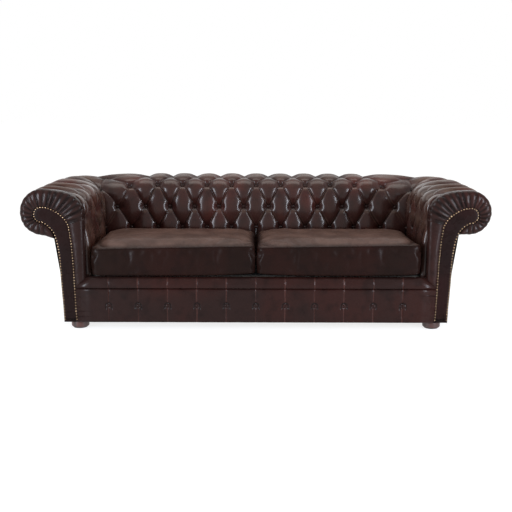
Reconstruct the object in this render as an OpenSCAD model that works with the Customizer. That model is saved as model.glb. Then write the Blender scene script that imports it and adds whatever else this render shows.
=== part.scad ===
// Rolled-arm sofa: deep-buttoned back and arms, two loose seat cushions, wooden frame.
// Millimetres, +Z up, front towards -Y, origin on the floor under the middle of the sofa.
// The back and both arms share one profile, drawn in (n, z): n runs outwards from the foot
// of the inside pad, so the back and the arms meet in true mitres at the rear corners.

/* [Overall] */
// Width over both rolled arms
overall_w = 2380; // [2250:10:2500]
// Depth from the front of the arm scrolls to the rear of the back's roll
overall_d = 920; // [890:5:980]
// Height to the top of the roll
overall_h = 725; // [705:5:760]

/* [Roll] */
// Diameter of the padded roll
roll_d = 225; // [215:1:235]
// Distance of the roll's centre out from the foot of the inside pad
roll_out = 230; // [220:1:245]
// Lean of the inside pad between its foot and the height where it starts to curve
pad_lean = 12; // [6:1:20]
// Distance below the roll's centre at which the inside pad starts to curve over
spring_drop = 22.5; // [10:0.5:40]
// Thickness of the inside pad at its foot
pad_t = 62; // [58:1:70]
// Thickness of the padding round the roll
roll_pad_t = 45; // [42:1:50]

/* [Buttoning] */
// Diamonds across the back
back_diamonds = 12; // [10:1:13]
// Distance between rows of buttons, measured over the leather
row_pitch = 118; // [110:1:122]
// Distance from the foot of the pad to its lowest row of buttons
first_row = 252; // [235:1:262]
// Depth of the button pits below the crests
tuft_depth = 32; // [20:1:36]
// Diameter of a covered button
button_d = 18; // [14:1:20]

/* [Arm fronts] */
// Distance of the arm's outside at the floor end from the foot of the inside pad
stem_out = 141; // [136:1:146]
// Width of the facing at its foot
facing_w = 68; // [62:1:72]
// Thickness of the facing board with its cover
facing_t = 8; // [6:0.5:10]
// Width of the gathered ring round the scroll
ring_w = 69.5; // [62:0.5:72]
// Set-back of the border tube's inner edge from the foot of the inside pad
border_in = 25; // [20:1:32]
// Thickness of the border's padding over the scroll board's edge
border_t = 20; // [16:1:24]
// Distance that the border stands forward of the scroll board
border_out = 22; // [18:1:26]
// Gathers round the scroll
gathers = 18; // [12:1:20]
// Depth of the gathers
gather_depth = 6; // [3:0.5:8]
// Distance between the nails
nail_pitch = 12; // [11:0.5:20]
// Diameter of a nail's head
nail_d = 9.5; // [7:0.5:10]
// Distance of the nails from the facing's edge
nail_in = 6.5; // [6:0.5:10]

/* [Seat] */
// Height of the deck under the cushions
deck_h = 280; // [276:1:300]
// Height of a cushion's boxing between its seams
cushion_t = 158; // [130:1:170]
// Rise of a cushion's crown over its top seam
crown = 22; // [10:1:35]
// How far a cushion's sides are drawn in between its corners
drawn_in = 6; // [2:1:12]
// Radius of a cushion's corners, seen from above
cushion_r = 32; // [20:1:60]
// Gap round the cushions
cushion_gap = 3; // [2:0.5:6]
// Height of the top of the lower border panel
border_h = 207; // [202:1:212]
// Thickness of the lower border panel's padding
panel_pad = 17; // [12:1:20]
// Pleats in the lower border
pleats = 11; // [9:1:13]
// Distance between the pleats
pleat_pitch = 151; // [120:1:160]
// Depth of a pleat
pleat_depth = 5; // [3:0.5:7]

/* [Frame] */
// Height of the base rails
rail_h = 140; // [130:1:144]
// Thickness of the base rails
rail_t = 38; // [30:1:44]
// Thickness of the scroll boards
board_t = 38; // [30:1:42]
// Width of a post
post_w = 45; // [35:1:50]
// Width of a webbing strap
strap_w = 55; // [45:1:58]
// Thickness of a webbing strap
strap_t = 3; // [2:0.5:4]
// Distance between straps
strap_pitch = 115; // [110:1:130]
// Thickness of the stretched cloths
cloth_t = 1.5; // [1:0.1:1.6]
// Thickness of the outside panels
panel_t = 4; // [3:0.5:5]
// Leg length of a corner block
block_leg = 120; // [112:1:140]
// Height of a corner block
block_h = 50; // [40:1:70]
// Distance of the cross pieces from the middle
stretcher_x = 300; // [200:10:400]
// Height of the cross pieces
stretcher_h = 90; // [70:1:120]

/* [Feet] */
// Diameter of a foot
foot_d = 92; // [80:1:96]
// Height of a foot with its glide
foot_h = 40; // [35:1:60]
// Diameter of a glide
glide_d = 72; // [50:1:76]
// Thickness of a glide
glide_t = 4; // [3:0.5:6]
// Diameter of a foot's bolt
bolt_d = 8; // [6:0.5:10]

/* [Hidden] */

leather = "#3f2620";
leather_dark = "#2d1b18";
leather_light = "#5a382e";
timber = "#b98f5e";
cloth = "#2b2a2a";
hessian = "#a08a62";

// Fitting gap between a soft piece and what it lies against
gap = 0.3;
// Running gap of a bolt in its hole
bolt_gap = 0.2;

roll_r = roll_d / 2;
roll_z = overall_h - roll_r;
spring_z = roll_z - spring_drop;
half_w = overall_w / 2 - roll_out - roll_r;
back_y = overall_d / 2 - roll_out - roll_r;
front_y = -overall_d / 2;
board_y = front_y + border_out;
arm_y = board_y + board_t;

rail_z = foot_h + cloth_t;
rail_top = rail_z + rail_h;
cloth_z = rail_top + strap_t;
// The foot of the leaning pad is lowest at its back
pad_z = cloth_z + cloth_t + gap + pad_t * pad_lean / (spring_z - cloth_z);
core_z = roll_z - roll_r + roll_pad_t + gap;
rail_out = stem_out - panel_t - gap;
rail_in = rail_out - rail_t;
post_in = pad_t + gap + cloth_t + gap;
// The roll's leather ends below, this share of its radius inside the roll's centre
end_share = 0.43;
roll_end = roll_out - end_share * roll_r;
seam_low = deck_h + 10;

// Cubic curve through a and d with handles b and c, as points after a
function cubic(a, b, c, d, steps) = [
    for (i = [1:steps])
        let (t = i / steps, u = 1 - t)
            u * u * u * a + 3 * u * u * t * b + 3 * u * t * t * c + t * t * t * d
];

// Clockwise arc from the start angle, as points after its first
function arc(centre, r, start, sweep, steps) = [
    for (i = [1:steps])
        let (a = start - sweep * i / steps)
            centre + r * [cos(a), sin(a)]
];

// Table of [distance along the path, coordinate k], for lookup()
function measured(path, k) = [
    for (
        i = 0, s = 0;
        i < len(path);
        s = s + (i + 1 < len(path) ? norm(path[i + 1] - path[i]) : 0), i = i + 1
    )
        [s, path[i][k]]
];

function at(tables, s) = [lookup(s, tables[0]), lookup(s, tables[1])];

// Unit normal of a path, to the right of its direction
function right_of(tables, s) =
    let (t = at(tables, s + 2) - at(tables, s - 2))
        [t[1], -t[0]] / norm(t);

// Share of a curve's rise and run that its two handles take
handle_up = 0.8;
handle_over = 0.55;
curve_steps = 10;
arc_steps = 16;

// Outline that rises from low to spring, curves over and goes round under the roll
function roll_outline(low, spring) = concat(
    [low, spring],
    cubic(
        spring,
        spring + [handle_up * (spring[0] - low[0]) / 4, handle_up * (overall_h - spring[1])],
        [roll_out - handle_over * (roll_out - spring[0]), overall_h],
        [roll_out, overall_h],
        curve_steps
    ),
    arc([roll_out, roll_z], roll_r, 90, 180, arc_steps),
    [[roll_end, roll_z - roll_r]]
);

// The leather's crests: distance s runs from the pad's foot, over the roll, to its end below
skin_path = roll_outline([0, pad_z], [pad_lean, spring_z]);
skin = [measured(skin_path, 0), measured(skin_path, 1)];
skin_spring = skin[0][1][0];
skin_top = skin[0][1 + curve_steps][0];
skin_under = skin[0][1 + curve_steps + arc_steps][0];
skin_end = skin[0][len(skin_path) - 1][0];

// Thickness of the pad under the crests
function thickness(s) = lookup(s, [
    [0, pad_t], [skin_spring, pad_t - pad_lean], [skin_top, roll_pad_t], [skin_end, roll_pad_t],
]);

// Point at a depth under the crests
function under(s, depth) = at(skin, s) + right_of(skin, s) * depth;

// Distances at which the pad and the rail inside it have their edges
pitch = 2 * half_w / back_diamonds;
rows = 4;
last_row = first_row + (rows - 1) * row_pitch;
over_steps = arc_steps / 2;
pad_rows = concat(
    [0],
    [for (j = [-2:2 * rows - 2]) first_row + j * row_pitch / 2],
    [(last_row + skin_top) / 2, skin_top],
    [for (j = [1:over_steps]) skin_top + (skin_under - skin_top) * j / over_steps],
    [skin_end]
);

// Height of the leather between pit (0) and crest (1), at a diamonds along and r rows up
crest_round = 0.6;
pleat_share = 0.45;
function crest(a, r) =
    let (
        rr = min(max(r, 0), rows - 1),
        p = a + rr / 2 - floor(a + rr / 2),
        q = a - rr / 2 - floor(a - rr / 2),
        lift = row_pitch / pitch,
        near = min([for (i = [0, 1], j = [0, 1])
            norm([(p - i + q - j) / 2, (p - i - q + j) * lift])]),
        edge = pow(min(1, 2 * near), 0.7)
    )
        pleat_share * edge
        + (1 - pleat_share) * pow(max(0, sin(180 * p) * sin(180 * q)), crest_round);

// Rows over which the pleats run out below the lowest and past the highest buttons
run_out = 1.6;
// Share of the pit depth that is left in the mitred corner
corner_share = 0.35;
function tuft(w, s) =
    let (
        r = (s - first_row) / row_pitch,
        past = max(0, -r, r - rows + 1),
        fade = max(0, 1 - past / run_out) * (s <= 0 || s >= skin_end ? 0 : 1),
        corner = lookup(w, [[0, corner_share], [pitch, 1]])
    )
        tuft_depth * corner * fade * (1 - crest(w / pitch, r));

// Reach along the seat, past its rear corner, of a point w before the corner at depth n
corner_ease = 1.5 * pitch;
mitre_gap = 0.25;
function reach(w, n) = -w + (n - mitre_gap) * max(0, 1 - w / corner_ease);

// Points of the back and of the right arm; w runs from the left corner, or from the corner
function back_point(w, nz) = [
    w < half_w ? -half_w - reach(w, nz[0]) : half_w + reach(2 * half_w - w, nz[0]),
    back_y + nz[0],
    nz[1],
];
function arm_point(w, nz) = [half_w + nz[0], back_y + reach(w, nz[0]), nz[1]];

function corner_distance(w) = min(w, 2 * half_w - w);

function flat(list) = [for (part = list) each part];

// Closed skin of a buttoned pad: a tufted face, a plain back and two flat ends
module tufted_pad(columns, face, back) {
    nc = len(columns);
    nr = len(pad_rows);
    inner = nc * nr;
    points = concat(
        flat([for (s = pad_rows) [for (w = columns) face(w, s)]]),
        flat([for (s = pad_rows) [back(columns[0], s), back(columns[nc - 1], s)]])
    );
    // A pleat that runs down to the right takes the other diagonal of its cell
    face_sides = flat([
        for (j = [0:nr - 2], i = [0:nc - 2])
            let (a = j * nc + i, b = a + 1, c = a + nc, d = c + 1)
                (i + j + 2) % 4 == 0 ? [[a, b, c], [b, d, c]] : [[a, b, d], [a, d, c]]
    ]);
    back_sides = flat([
        for (j = [0:nr - 2])
            let (a = inner + 2 * j, b = a + 1, c = a + 2, d = a + 3)
                [[a, c, b], [b, c, d]]
    ]);
    end_sides = flat([
        for (j = [0:nr - 2])
            let (
                a = j * nc, c = a + nc, ia = inner + 2 * j, ic = ia + 2,
                b = a + nc - 1, d = b + nc, ib = ia + 1, id = ib + 2
            )
                [[a, c, ia], [c, ic, ia], [b, ib, d], [d, ib, id]]
    ]);
    foot_side = concat(
        [for (i = [0:nc - 2]) [i, inner, i + 1]],
        [[nc - 1, inner, inner + 1]]
    );
    top = (nr - 1) * nc;
    inner_top = inner + 2 * (nr - 1);
    top_side = concat(
        [for (i = [0:nc - 2]) [top + i, top + i + 1, inner_top]],
        [[top + nc - 1, inner_top + 1, inner_top]]
    );
    polyhedron(points, concat(face_sides, back_sides, end_sides, foot_side, top_side));
}

module back_pad() {
    columns = [for (i = [0:4 * back_diamonds]) i * pitch / 4];
    face = function (w, s) back_point(w, under(s, tuft(corner_distance(w), s)));
    back = function (w, s) back_point(w, under(s, thickness(s)));
    color(leather)
        tufted_pad(columns, face, back);
}

arm_length = back_y - arm_y - gap;
module arm_pad() {
    quarters = floor(arm_length / pitch * 4 - 0.2);
    columns = concat([for (i = [0:quarters]) i * pitch / 4], [arm_length]);
    face = function (w, s) arm_point(w, under(s, tuft(w, s)));
    back = function (w, s) arm_point(w, under(s, thickness(s)));
    color(leather)
        mirror([0, 1, 0])
            tufted_pad(
                columns,
                function (w, s) [face(w, s)[0], -face(w, s)[1], face(w, s)[2]],
                function (w, s) [back(w, s)[0], -back(w, s)[1], back(w, s)[2]]
            );
}

// Sides of a covered button, seen from above
button_sides = 10;
// Covered button: a cone below that fits its pit and a low crown above
module covered_button(slope) {
    r = button_d / 2;
    rim = gap + slope * r;
    color(leather_light)
        hull() {
            translate([0, 0, gap])
                cylinder(h = rim - gap, r1 = 0, r2 = r, $fn = button_sides);
            translate([0, 0, rim])
                cylinder(h = 0.5 * r, r1 = r, r2 = 0.5 * r, $fn = button_sides);
        }
}

// Slope of the leather beside a pit, with a little room for the button
pit_slope = 4.8 * tuft_depth * crest(0.25, 0) / pitch;
// Slope in the mitre, where the back and the arm meet at a right angle
corner_slope = 1.3;

// Angle that turns a button from upright to square with the leather
function tilt(s) = let (v = right_of(skin, s)) atan2(v[0], -v[1]);

function row_offset(row) = row % 2 / 2;

module back_buttons() {
    for (row = [0:rows - 1], i = [0:back_diamonds - row % 2]) {
        s = first_row + row * row_pitch;
        w = (i + row_offset(row)) * pitch;
        at_corner = corner_distance(w) < 1;
        turn = at_corner ? (w < half_w ? 45 : -45) : 0;
        translate(back_point(w, under(s, tuft(corner_distance(w), s))))
            rotate([tilt(s), 0, turn])
                covered_button(at_corner ? corner_slope : pit_slope);
    }
}

module arm_buttons() {
    for (row = [0:rows - 1], i = [0:floor(arm_length / pitch)]) {
        s = first_row + row * row_pitch;
        w = (i + row_offset(row)) * pitch;
        if (w > 1 && w < arm_length - pitch / 4)
            translate(arm_point(w, under(s, tuft(w, s))))
                rotate([tilt(s), 0, -90])
                    covered_button(pit_slope);
    }
}

// Plan of the back and of the right arm, cut on the mitre
plan_in = -roll_pad_t;
plan_out = roll_out + roll_d;
back_plan = [
    [-half_w - plan_in + mitre_gap, back_y + plan_in],
    [half_w + plan_in - mitre_gap, back_y + plan_in],
    [half_w + plan_out - mitre_gap, back_y + plan_out],
    [-half_w - plan_out + mitre_gap, back_y + plan_out],
];
arm_plan = [
    [half_w + plan_in, front_y],
    [half_w + plan_out, front_y],
    [half_w + plan_out, back_y + plan_out - mitre_gap],
    [half_w + plan_in, back_y + plan_in - mitre_gap],
];

// Runs a profile along the back, mitred at both ends
module along_back() {
    intersection() {
        translate([-overall_w / 2, back_y, 0])
            rotate([90, 0, 90])
                linear_extrude(overall_w)
                    children();
        linear_extrude(overall_h + 10)
            polygon(back_plan);
    }
}

// Runs a profile along the right arm from its front end to the mitre
module along_arm(start) {
    intersection() {
        translate([half_w, overall_d / 2, 0])
            rotate([90, 0, 0])
                linear_extrude(overall_d / 2 - start)
                    children();
        linear_extrude(overall_h + 10)
            polygon(arm_plan);
    }
}

// Shaped top rail: follows the pad's back, flat where it stands on the posts
module top_rail_profile() {
    shoulder = core_z - pad_z + gap;
    foot = under(shoulder, thickness(shoulder) + gap);
    above = [for (s = pad_rows) if (s > shoulder + 10 && s < skin_end - 1) s];
    polygon(concat(
        [[foot[0], core_z]],
        [for (s = above) let (p = under(s, thickness(s) + gap)) [p[0], max(core_z, p[1])]],
        [[roll_end, core_z]]
    ));
}

module back_top_rail() color(timber) along_back() top_rail_profile();

module arm_top_rail() color(timber) along_arm(arm_y) top_rail_profile();

module lining_profile() {
    translate([pad_t + gap, pad_z])
        square([cloth_t, core_z - pad_z - gap]);
}

module back_lining() color(hessian) along_back() lining_profile();

module arm_lining() color(hessian) along_arm(arm_y + gap) lining_profile();

// Outside of the stem: from the floor end up to where the roll's padding ends
panel_top_n = roll_end - gap;
panel_rise = roll_z - roll_r - foot_h;
panel_path = concat(
    [[stem_out, foot_h]],
    cubic(
        [stem_out, foot_h],
        [1.04 * stem_out, foot_h + 0.34 * panel_rise],
        [1.05 * stem_out, foot_h + 0.89 * panel_rise],
        [panel_top_n, foot_h + panel_rise],
        8
    )
);
panel_by_z = [for (p = panel_path) [p[1], p[0]]];
function outside_n(z) = lookup(z, panel_by_z);

module outside_profile() {
    top = [panel_top_n, core_z - gap];
    outer = concat(panel_path, [top]);
    polygon(concat(
        outer,
        [for (i = [len(outer) - 1:-1:0]) outer[i] - [panel_t, 0]]
    ));
}

module outside_back() color(leather) along_back() outside_profile();

module outside_arm() color(leather) along_arm(board_y) outside_profile();

// Facing: stem edges, and a round head inside the scroll
head = [roll_out + 6, roll_z - 14.5];
head_r = roll_r - ring_w;
facing_out = stem_out - 3;
facing_in = facing_out - facing_w;
neck_in = [facing_in + 0.38 * facing_w, head[1] - head_r - border_t];
waist_z = roll_z - roll_d + 12.5;
waist_out = [outside_n(waist_z) - 2, waist_z];
// Steps of the facing's outline: up its inner edge, over its neck, round its head, to its waist
stem_steps = 8;
neck_steps = 16;
head_steps = 30;
waist_steps = 12;
facing_path = concat(
    [[facing_in, foot_h]],
    cubic(
        [facing_in, foot_h], [facing_in + 10, foot_h + 185], neck_in - [22, 126], neck_in,
        stem_steps
    ),
    cubic(neck_in, neck_in + [8, 50], head + [-62, head_r], head + [0, head_r], neck_steps),
    arc(head, head_r, 90, 180, head_steps),
    cubic(
        head - [0, head_r], head - [36, head_r + 15], waist_out + [4, 100], waist_out,
        waist_steps
    ),
    cubic(
        waist_out, waist_out - [3, 100], [facing_out + 9, foot_h + 125], [facing_out, foot_h],
        stem_steps
    )
);
facing = [measured(facing_path, 0), measured(facing_path, 1)];
function facing_mark(i) = facing[0][i][0];
facing_end = facing_mark(len(facing_path) - 1);
neck_mark = facing_mark(stem_steps);
head_top_mark = facing_mark(stem_steps + neck_steps);
head_under_mark = facing_mark(stem_steps + neck_steps + head_steps);
waist_mark = facing_mark(stem_steps + neck_steps + head_steps + waist_steps);

// Inner edge of the facing by height, for what butts against it low down
facing_by_z = [for (i = [0:stem_steps]) [facing_path[i][1], facing_path[i][0]]];
function facing_n(z) = lookup(z, facing_by_z);

module arm_facing() {
    color(leather_dark)
        translate([half_w, board_y, 0])
            rotate([90, 0, 0])
                linear_extrude(facing_t)
                    polygon(facing_path);
}

// Sides of a nail's head
nail_sides = 6;
module nail() {
    r = nail_d / 2;
    rotate([90, 0, 0])
        hull()
            cylinder(h = 0.7 * r, r1 = r, r2 = 0.45 * r, $fn = nail_sides);
}

// Nails follow the facing's edge, up one side, round the head and down the other
module nailheads() {
    count = floor((facing_end - 2 * nail_pitch) / nail_pitch);
    step = (facing_end - 2 * nail_pitch) / count;
    color("#b08a4a")
        for (i = [0:count]) {
            s = nail_pitch + i * step;
            p = at(facing, s) + right_of(facing, s) * nail_in;
            translate([half_w + p[0], board_y - facing_t, p[1]])
                nail();
        }
}

// Border of the arm front: its outer edge, and the place on the facing that it starts from
border_low = deck_h - 10;
border_path = roll_outline([border_in, border_low], [border_in, spring_z + 10]);
border = [measured(border_path, 0), measured(border_path, 1)];
border_end = border[0][len(border_path) - 1][0];
border_top = border[0][1 + curve_steps][0];
border_under = border[0][1 + curve_steps + arc_steps][0];
gather_from = spring_z - border_low;
lip_slope = 40;
facing_low = border_low - lip_slope - foot_h;
gather_mark = neck_mark + 32;
// Share of the way from the head's underside to the waist at which the border ends
waist_share = 0.2;
function facing_at(s) = lookup(s, [
    [0, facing_low],
    [gather_from, gather_mark],
    [border_top, head_top_mark],
    [border_under, head_under_mark],
    [border_end, head_under_mark + waist_share * (waist_mark - head_under_mark)],
]);

// Places of the border's sections: where the facing's edge bends, then every half gather
half_gather = (border_end - gather_from) / (2 * gathers);
border_places = concat(
    [0],
    [
        for (i = [1:stem_steps + neck_steps])
            let (s = gather_from * (facing_mark(i) - facing_low) / (gather_mark - facing_low))
                if (s > 5 && s < gather_from - 3)
                    s
    ],
    [for (i = [0:2 * gathers]) gather_from + i * half_gather]
);
gather_first = len(border_places) - 1 - 2 * gathers;

// Point of the flap's inner face at s, moved in towards the scroll board's middle
function flap_point(s, inward) =
    let (inner = at(facing, facing_at(s)), across = at(border, s) - inner)
        inner + across * (1 - (border_t + inward) / norm(across));

// Section of the border at s: a full roll in front and a flap back over the board's edge
function border_section(s, dip) =
    let (
        inner = at(facing, facing_at(s)),
        across = at(border, s) - inner,
        width = norm(across),
        dir = across / width,
        flap = width - border_t,
        place = function (q, y) [half_w + inner[0] + dir[0] * q, y, inner[1] + dir[1] * q]
    )
        [
            place(gap, board_y - gap),
            place(gap, board_y - facing_t - 2),
            place(0.22 * width, front_y + 4 + dip),
            place(0.5 * width, front_y + dip),
            place(0.8 * width, front_y + 6 + dip),
            place(width - dip / 2, board_y + 2),
            place(width - dip / 2, arm_y - gap),
            place(flap, arm_y - gap),
            place(flap, board_y - gap),
        ];

// Closed skin through a row of sections with equally many points
module lofted(sections) {
    m = len(sections[0]);
    n = len(sections);
    sides = flat([
        for (j = [0:n - 2], i = [0:m - 1])
            let (a = j * m + i, b = j * m + (i + 1) % m, c = a + m, d = b + m)
                [[a, c, b], [b, c, d]]
    ]);
    caps = flat([
        for (i = [1:m - 2])
            [[0, i, i + 1], [(n - 1) * m, (n - 1) * m + i + 1, (n - 1) * m + i]]
    ]);
    polyhedron(flat(sections), concat(sides, caps));
}

module arm_border() {
    color(leather)
        lofted([
            for (i = [0:len(border_places) - 1])
                let (valley = i >= gather_first && (i - gather_first) % 2 == 0)
                    border_section(border_places[i], valley ? gather_depth : 0)
        ]);
}

// Scroll board: the roll's outline inside the border, down to a stem behind the facing, with
// a slot that takes the top of the outside panel
module scroll_board() {
    step_z = deck_h;
    stem_in = facing_in - 1;
    rim = [for (s = border_places) let (p = flap_point(s, gap)) if (p[1] > step_z + 1) p];
    slot_in = panel_top_n - panel_t - gap;
    slot_out = panel_top_n + gap;
    bends = [for (i = [len(panel_path) - 1:-1:0]) panel_path[i][1]];
    outer_z = concat([for (z = bends) if (z > rail_z) z], [rail_z]);
    color(timber)
        translate([half_w, arm_y, 0])
            rotate([90, 0, 0])
                linear_extrude(board_t)
                    polygon(concat(
                        [[stem_in, rail_z], [stem_in, step_z], [rim[0][0], step_z]],
                        rim,
                        [[slot_out, rim[len(rim) - 1][1] + 2], [slot_out, core_z]],
                        [[slot_in, core_z]],
                        [for (z = outer_z) [outside_n(z) - panel_t - gap, z]]
                    ));
}

module rail_box(from, to) {
    color(timber)
        translate(from)
            cube(to - from);
}

rear_rail_y = back_y + rail_in;
side_x = half_w + rail_in;
module front_rail() {
    reach_x = half_w + facing_in - 1;
    rail_box([-reach_x, board_y, rail_z], [reach_x, arm_y, rail_top]);
}

module rear_rail() {
    rail_box([-half_w - rail_out, rear_rail_y, rail_z],
             [half_w + rail_out, rear_rail_y + rail_t, rail_top]);
}

module side_rail() {
    rail_box([side_x, arm_y, rail_z], [side_x + rail_t, rear_rail_y, rail_top]);
}

module seat_stretchers() {
    for (x = [-stretcher_x, stretcher_x])
        rail_box([x - rail_t / 2, arm_y, rail_z],
                 [x + rail_t / 2, rear_rail_y, rail_z + stretcher_h]);
}

foot_x = side_x - 28;
foot_front = arm_y + 16;
foot_rear = rear_rail_y - 22;
foot_places = [
    [-foot_x, foot_front], [foot_x, foot_front], [-foot_x, foot_rear], [foot_x, foot_rear],
];

module corner_block() {
    linear_extrude(block_h)
        polygon([[0, 0], [-block_leg, 0], [-block_leg, 20], [-20, block_leg], [0, block_leg]]);
}

module corner_blocks() {
    color(timber)
        difference() {
            for (side = [0, 1])
                mirror([side, 0, 0]) {
                    translate([side_x, arm_y, rail_z])
                        corner_block();
                    translate([side_x, rear_rail_y, rail_z])
                        mirror([0, 1, 0])
                            corner_block();
                }
            for (p = foot_places)
                translate([p[0], p[1], rail_z - 1])
                    cylinder(d = bolt_d + 2 * bolt_gap, h = block_h + 2);
        }
}

// Straps lie on the rails; the posts stand in the gaps between them
cross_straps = [for (i = [-2:2]) i * strap_pitch + (arm_y + rear_rail_y) / 2];
long_straps = [for (i = [-7:7]) i * strap_pitch];
module seat_webbing() {
    long_end = half_w + rail_in + rail_t / 2;
    color(hessian) {
        for (y = cross_straps)
            translate([-long_end, y - strap_w / 2, rail_top])
                cube([2 * long_end, strap_w, strap_t]);
        for (x = long_straps)
            translate([x - strap_w / 2, board_y + 8, rail_top])
                cube([strap_w, rear_rail_y + rail_t / 2 - board_y - 8, strap_t]);
    }
}

module post(x, y, size) {
    translate([x - size[0] / 2, y - size[1] / 2, rail_top])
        cube([size[0], size[1], core_z - rail_top]);
}

post_mid = (post_in + rail_out) / 2;
post_d = rail_out - post_in;
module back_posts() {
    color(timber)
        for (i = [-7, -2.5, 2.5, 7])
            post(i * strap_pitch + (abs(i) == 7 ? sign(i) * strap_pitch / 2 : 0),
                 back_y + post_mid, [post_w, post_d]);
}

module arm_posts() {
    color(timber)
        for (i = [-1.5, 0.5])
            post(half_w + post_mid, i * strap_pitch + (arm_y + rear_rail_y) / 2, [post_d, post_w]);
}

module deck_burlap() {
    reach_n = pad_t;
    color(hessian)
        translate([-half_w - reach_n, board_y + 1, cloth_z])
            cube([2 * (half_w + reach_n), back_y + reach_n - board_y - 1, cloth_t]);
}

deck_x = half_w - cushion_gap + 1;
deck_front = arm_y - 24;
module deck_slab(low, high) {
    translate([-deck_x, deck_front, low])
        cube([2 * deck_x, back_y - gap - deck_front, high - low]);
}

module deck_foam() {
    color("#d9cfae")
        deck_slab(cloth_z + cloth_t, deck_h - gap - cloth_t);
}

module deck_cover() {
    color(cloth)
        deck_slab(deck_h - gap - cloth_t, deck_h - gap);
}

// Places along the front at which the border and the lip have their sections
pleat_half = 16;
pleat_x = [for (i = [0:pleats - 1]) (i - (pleats - 1) / 2) * pleat_pitch];
front_stations = concat(
    [[-1, 0]],
    flat([for (x = pleat_x) [[x - pleat_half, 0], [x, 1], [x + pleat_half, 0]]]),
    [[1, 0]]
);

// Section of a front piece at a station; its ends follow what it butts against
function front_section(i, outline, dips, end) =
    let (station = front_stations[i], last = len(front_stations) - 1)
        [
            for (k = [0:len(outline) - 1])
                let (p = outline[k], stop = half_w + end(p))
                    [
                        i == 0 ? -stop : i == last ? stop : station[0],
                        p[0] + station[1] * dips[k],
                        p[1],
                    ]
        ];

module front_piece(outline, dips, end) {
    color(leather_dark)
        lofted([for (i = [0:len(front_stations) - 1]) front_section(i, outline, dips, end)]);
}

border_button_z = 128;
button_dip = pleat_depth + 3;
module front_border() {
    back = board_y - gap;
    face = board_y - panel_pad;
    front_piece(
        [[back, foot_h], [face + 5, foot_h + 0.5], [face, foot_h + 15], [face, border_button_z],
            [face, border_h - 12], [face + 5, border_h - 1], [back, border_h]],
        [0, 2, pleat_depth, button_dip, pleat_depth, 2, 0],
        function (p) facing_n(p[1]) - gap
    );
}

module border_buttons() {
    for (x = pleat_x)
        translate([x, board_y - panel_pad + button_dip, border_button_z])
            rotate([90, 0, 0])
                covered_button(0.55);
}

// Lip: its ends are cut on a slope under the feet of the arm borders
module seat_lip() {
    low = cloth_z + cloth_t + gap;
    start = border_h + gap + 0.2;
    rise = deck_h - start;
    rear = deck_front - gap - 0.2;
    foot = border_low - lip_slope;
    slope = [[foot, facing_n(foot)], [border_low, border_in], [deck_h, border_in - 8]];
    front_piece(
        [[board_y - gap, start], [front_y + 4, start], [front_y, start + 0.2 * rise],
            [front_y + 2, start + 0.52 * rise], [front_y + 14, border_low],
            [front_y + 26, deck_h - 4], [rear, deck_h - 2], [rear, border_low], [rear, low],
            [board_y - gap, low]],
        [0, 2, 3, 4, 3, 1, 0, 0, 0, 0],
        function (p)
            min(lookup(p[1], slope), p[0] > board_y - 1 ? facing_in - 1 : facing_n(p[1]))
            - 2 * gap
    );
}

// Loose cushion: outline with round corners and sides drawn in between them
side_steps = 6;
corner_steps = 4;
function cushion_outline(half_x, half_y) =
    let (
        square = [[1, -1], [1, 1], [-1, 1], [-1, -1]],
        middle = [for (c = square) [c[0] * (half_x - cushion_r), c[1] * (half_y - cushion_r)]],
        turns = [
            for (k = [0:3])
                concat([middle[k] + cushion_r * [cos(90 * k - 90), sin(90 * k - 90)]],
                       arc(middle[k], cushion_r, 90 * k - 90, -90, corner_steps))
        ],
        edge = flat([
            for (k = [0:3])
                let (from = turns[k][corner_steps], to = turns[(k + 1) % 4][0])
                    concat(turns[k], [for (i = [1:side_steps - 1]) from + (to - from) * i / side_steps])
        ])
    )
        [
            for (p = edge)
                let (bx = p[0] / half_x, by = p[1] / half_y)
                    [p[0] - bx * drawn_in * (1 - by * by), p[1] - by * drawn_in * (1 - bx * bx)]
        ];

cushion_y0 = front_y + 5;
cushion_y1 = back_y - cushion_gap;
module cushion() {
    half_x = (half_w - 2 * cushion_gap) / 2;
    half_y = (cushion_y1 - cushion_y0) / 2;
    seam_top = seam_low + cushion_t - 10;
    edge = cushion_outline(half_x, half_y);
    count = len(edge);
    // Share of the plan and height of each ring, from the flat underside to the crown
    rings = [
        [0.93, deck_h, 0], [0.975, deck_h + 3, 0], [1, seam_low - 2, 0], [1, seam_low + 2, -2],
        [1, seam_low + 30, 0], [1, (seam_low + seam_top) / 2, 2], [1, seam_top - 30, 0],
        [1, seam_top - 2, -2], [1, seam_top + 2, 0], [0.95, seam_top + 0.5 * crown, 0],
        [0.8, seam_top + 0.8 * crown, 0], [0.45, seam_top + crown, 0],
    ];
    points = flat([
        for (r = rings)
            [for (p = edge)
                let (out = r[2] - 2)
                    [p[0] * r[0] * (half_x + out) / half_x,
                     p[1] * r[0] * (half_y + out) / half_y, r[1]]]
    ]);
    n = len(rings);
    sides = flat([
        for (j = [0:n - 2], k = [0:count - 1])
            let (a = j * count + k, b = j * count + (k + 1) % count, c = a + count, d = b + count)
                [[a, c, b], [b, c, d]]
    ]);
    foot = n * count;
    top = foot + 1;
    caps = flat([
        for (k = [0:count - 1])
            [[foot, k, (k + 1) % count],
             [top, (n - 1) * count + (k + 1) % count, (n - 1) * count + k]]
    ]);
    color(leather)
        translate([half_w / 2, (cushion_y0 + cushion_y1) / 2, 0])
            polyhedron(
                concat(points, [[0, 0, deck_h], [0, 0, seam_top + crown + 1]]),
                concat(sides, caps)
            );
}

module dust_cover() {
    color(cloth)
        difference() {
            translate([-half_w - rail_out, board_y, foot_h])
                cube([2 * (half_w + rail_out), rear_rail_y + rail_t - board_y, cloth_t]);
            for (p = foot_places)
                translate([p[0], p[1], foot_h - 1])
                    cylinder(d = bolt_d + 4 * bolt_gap, h = cloth_t + 2);
        }
}

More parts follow.
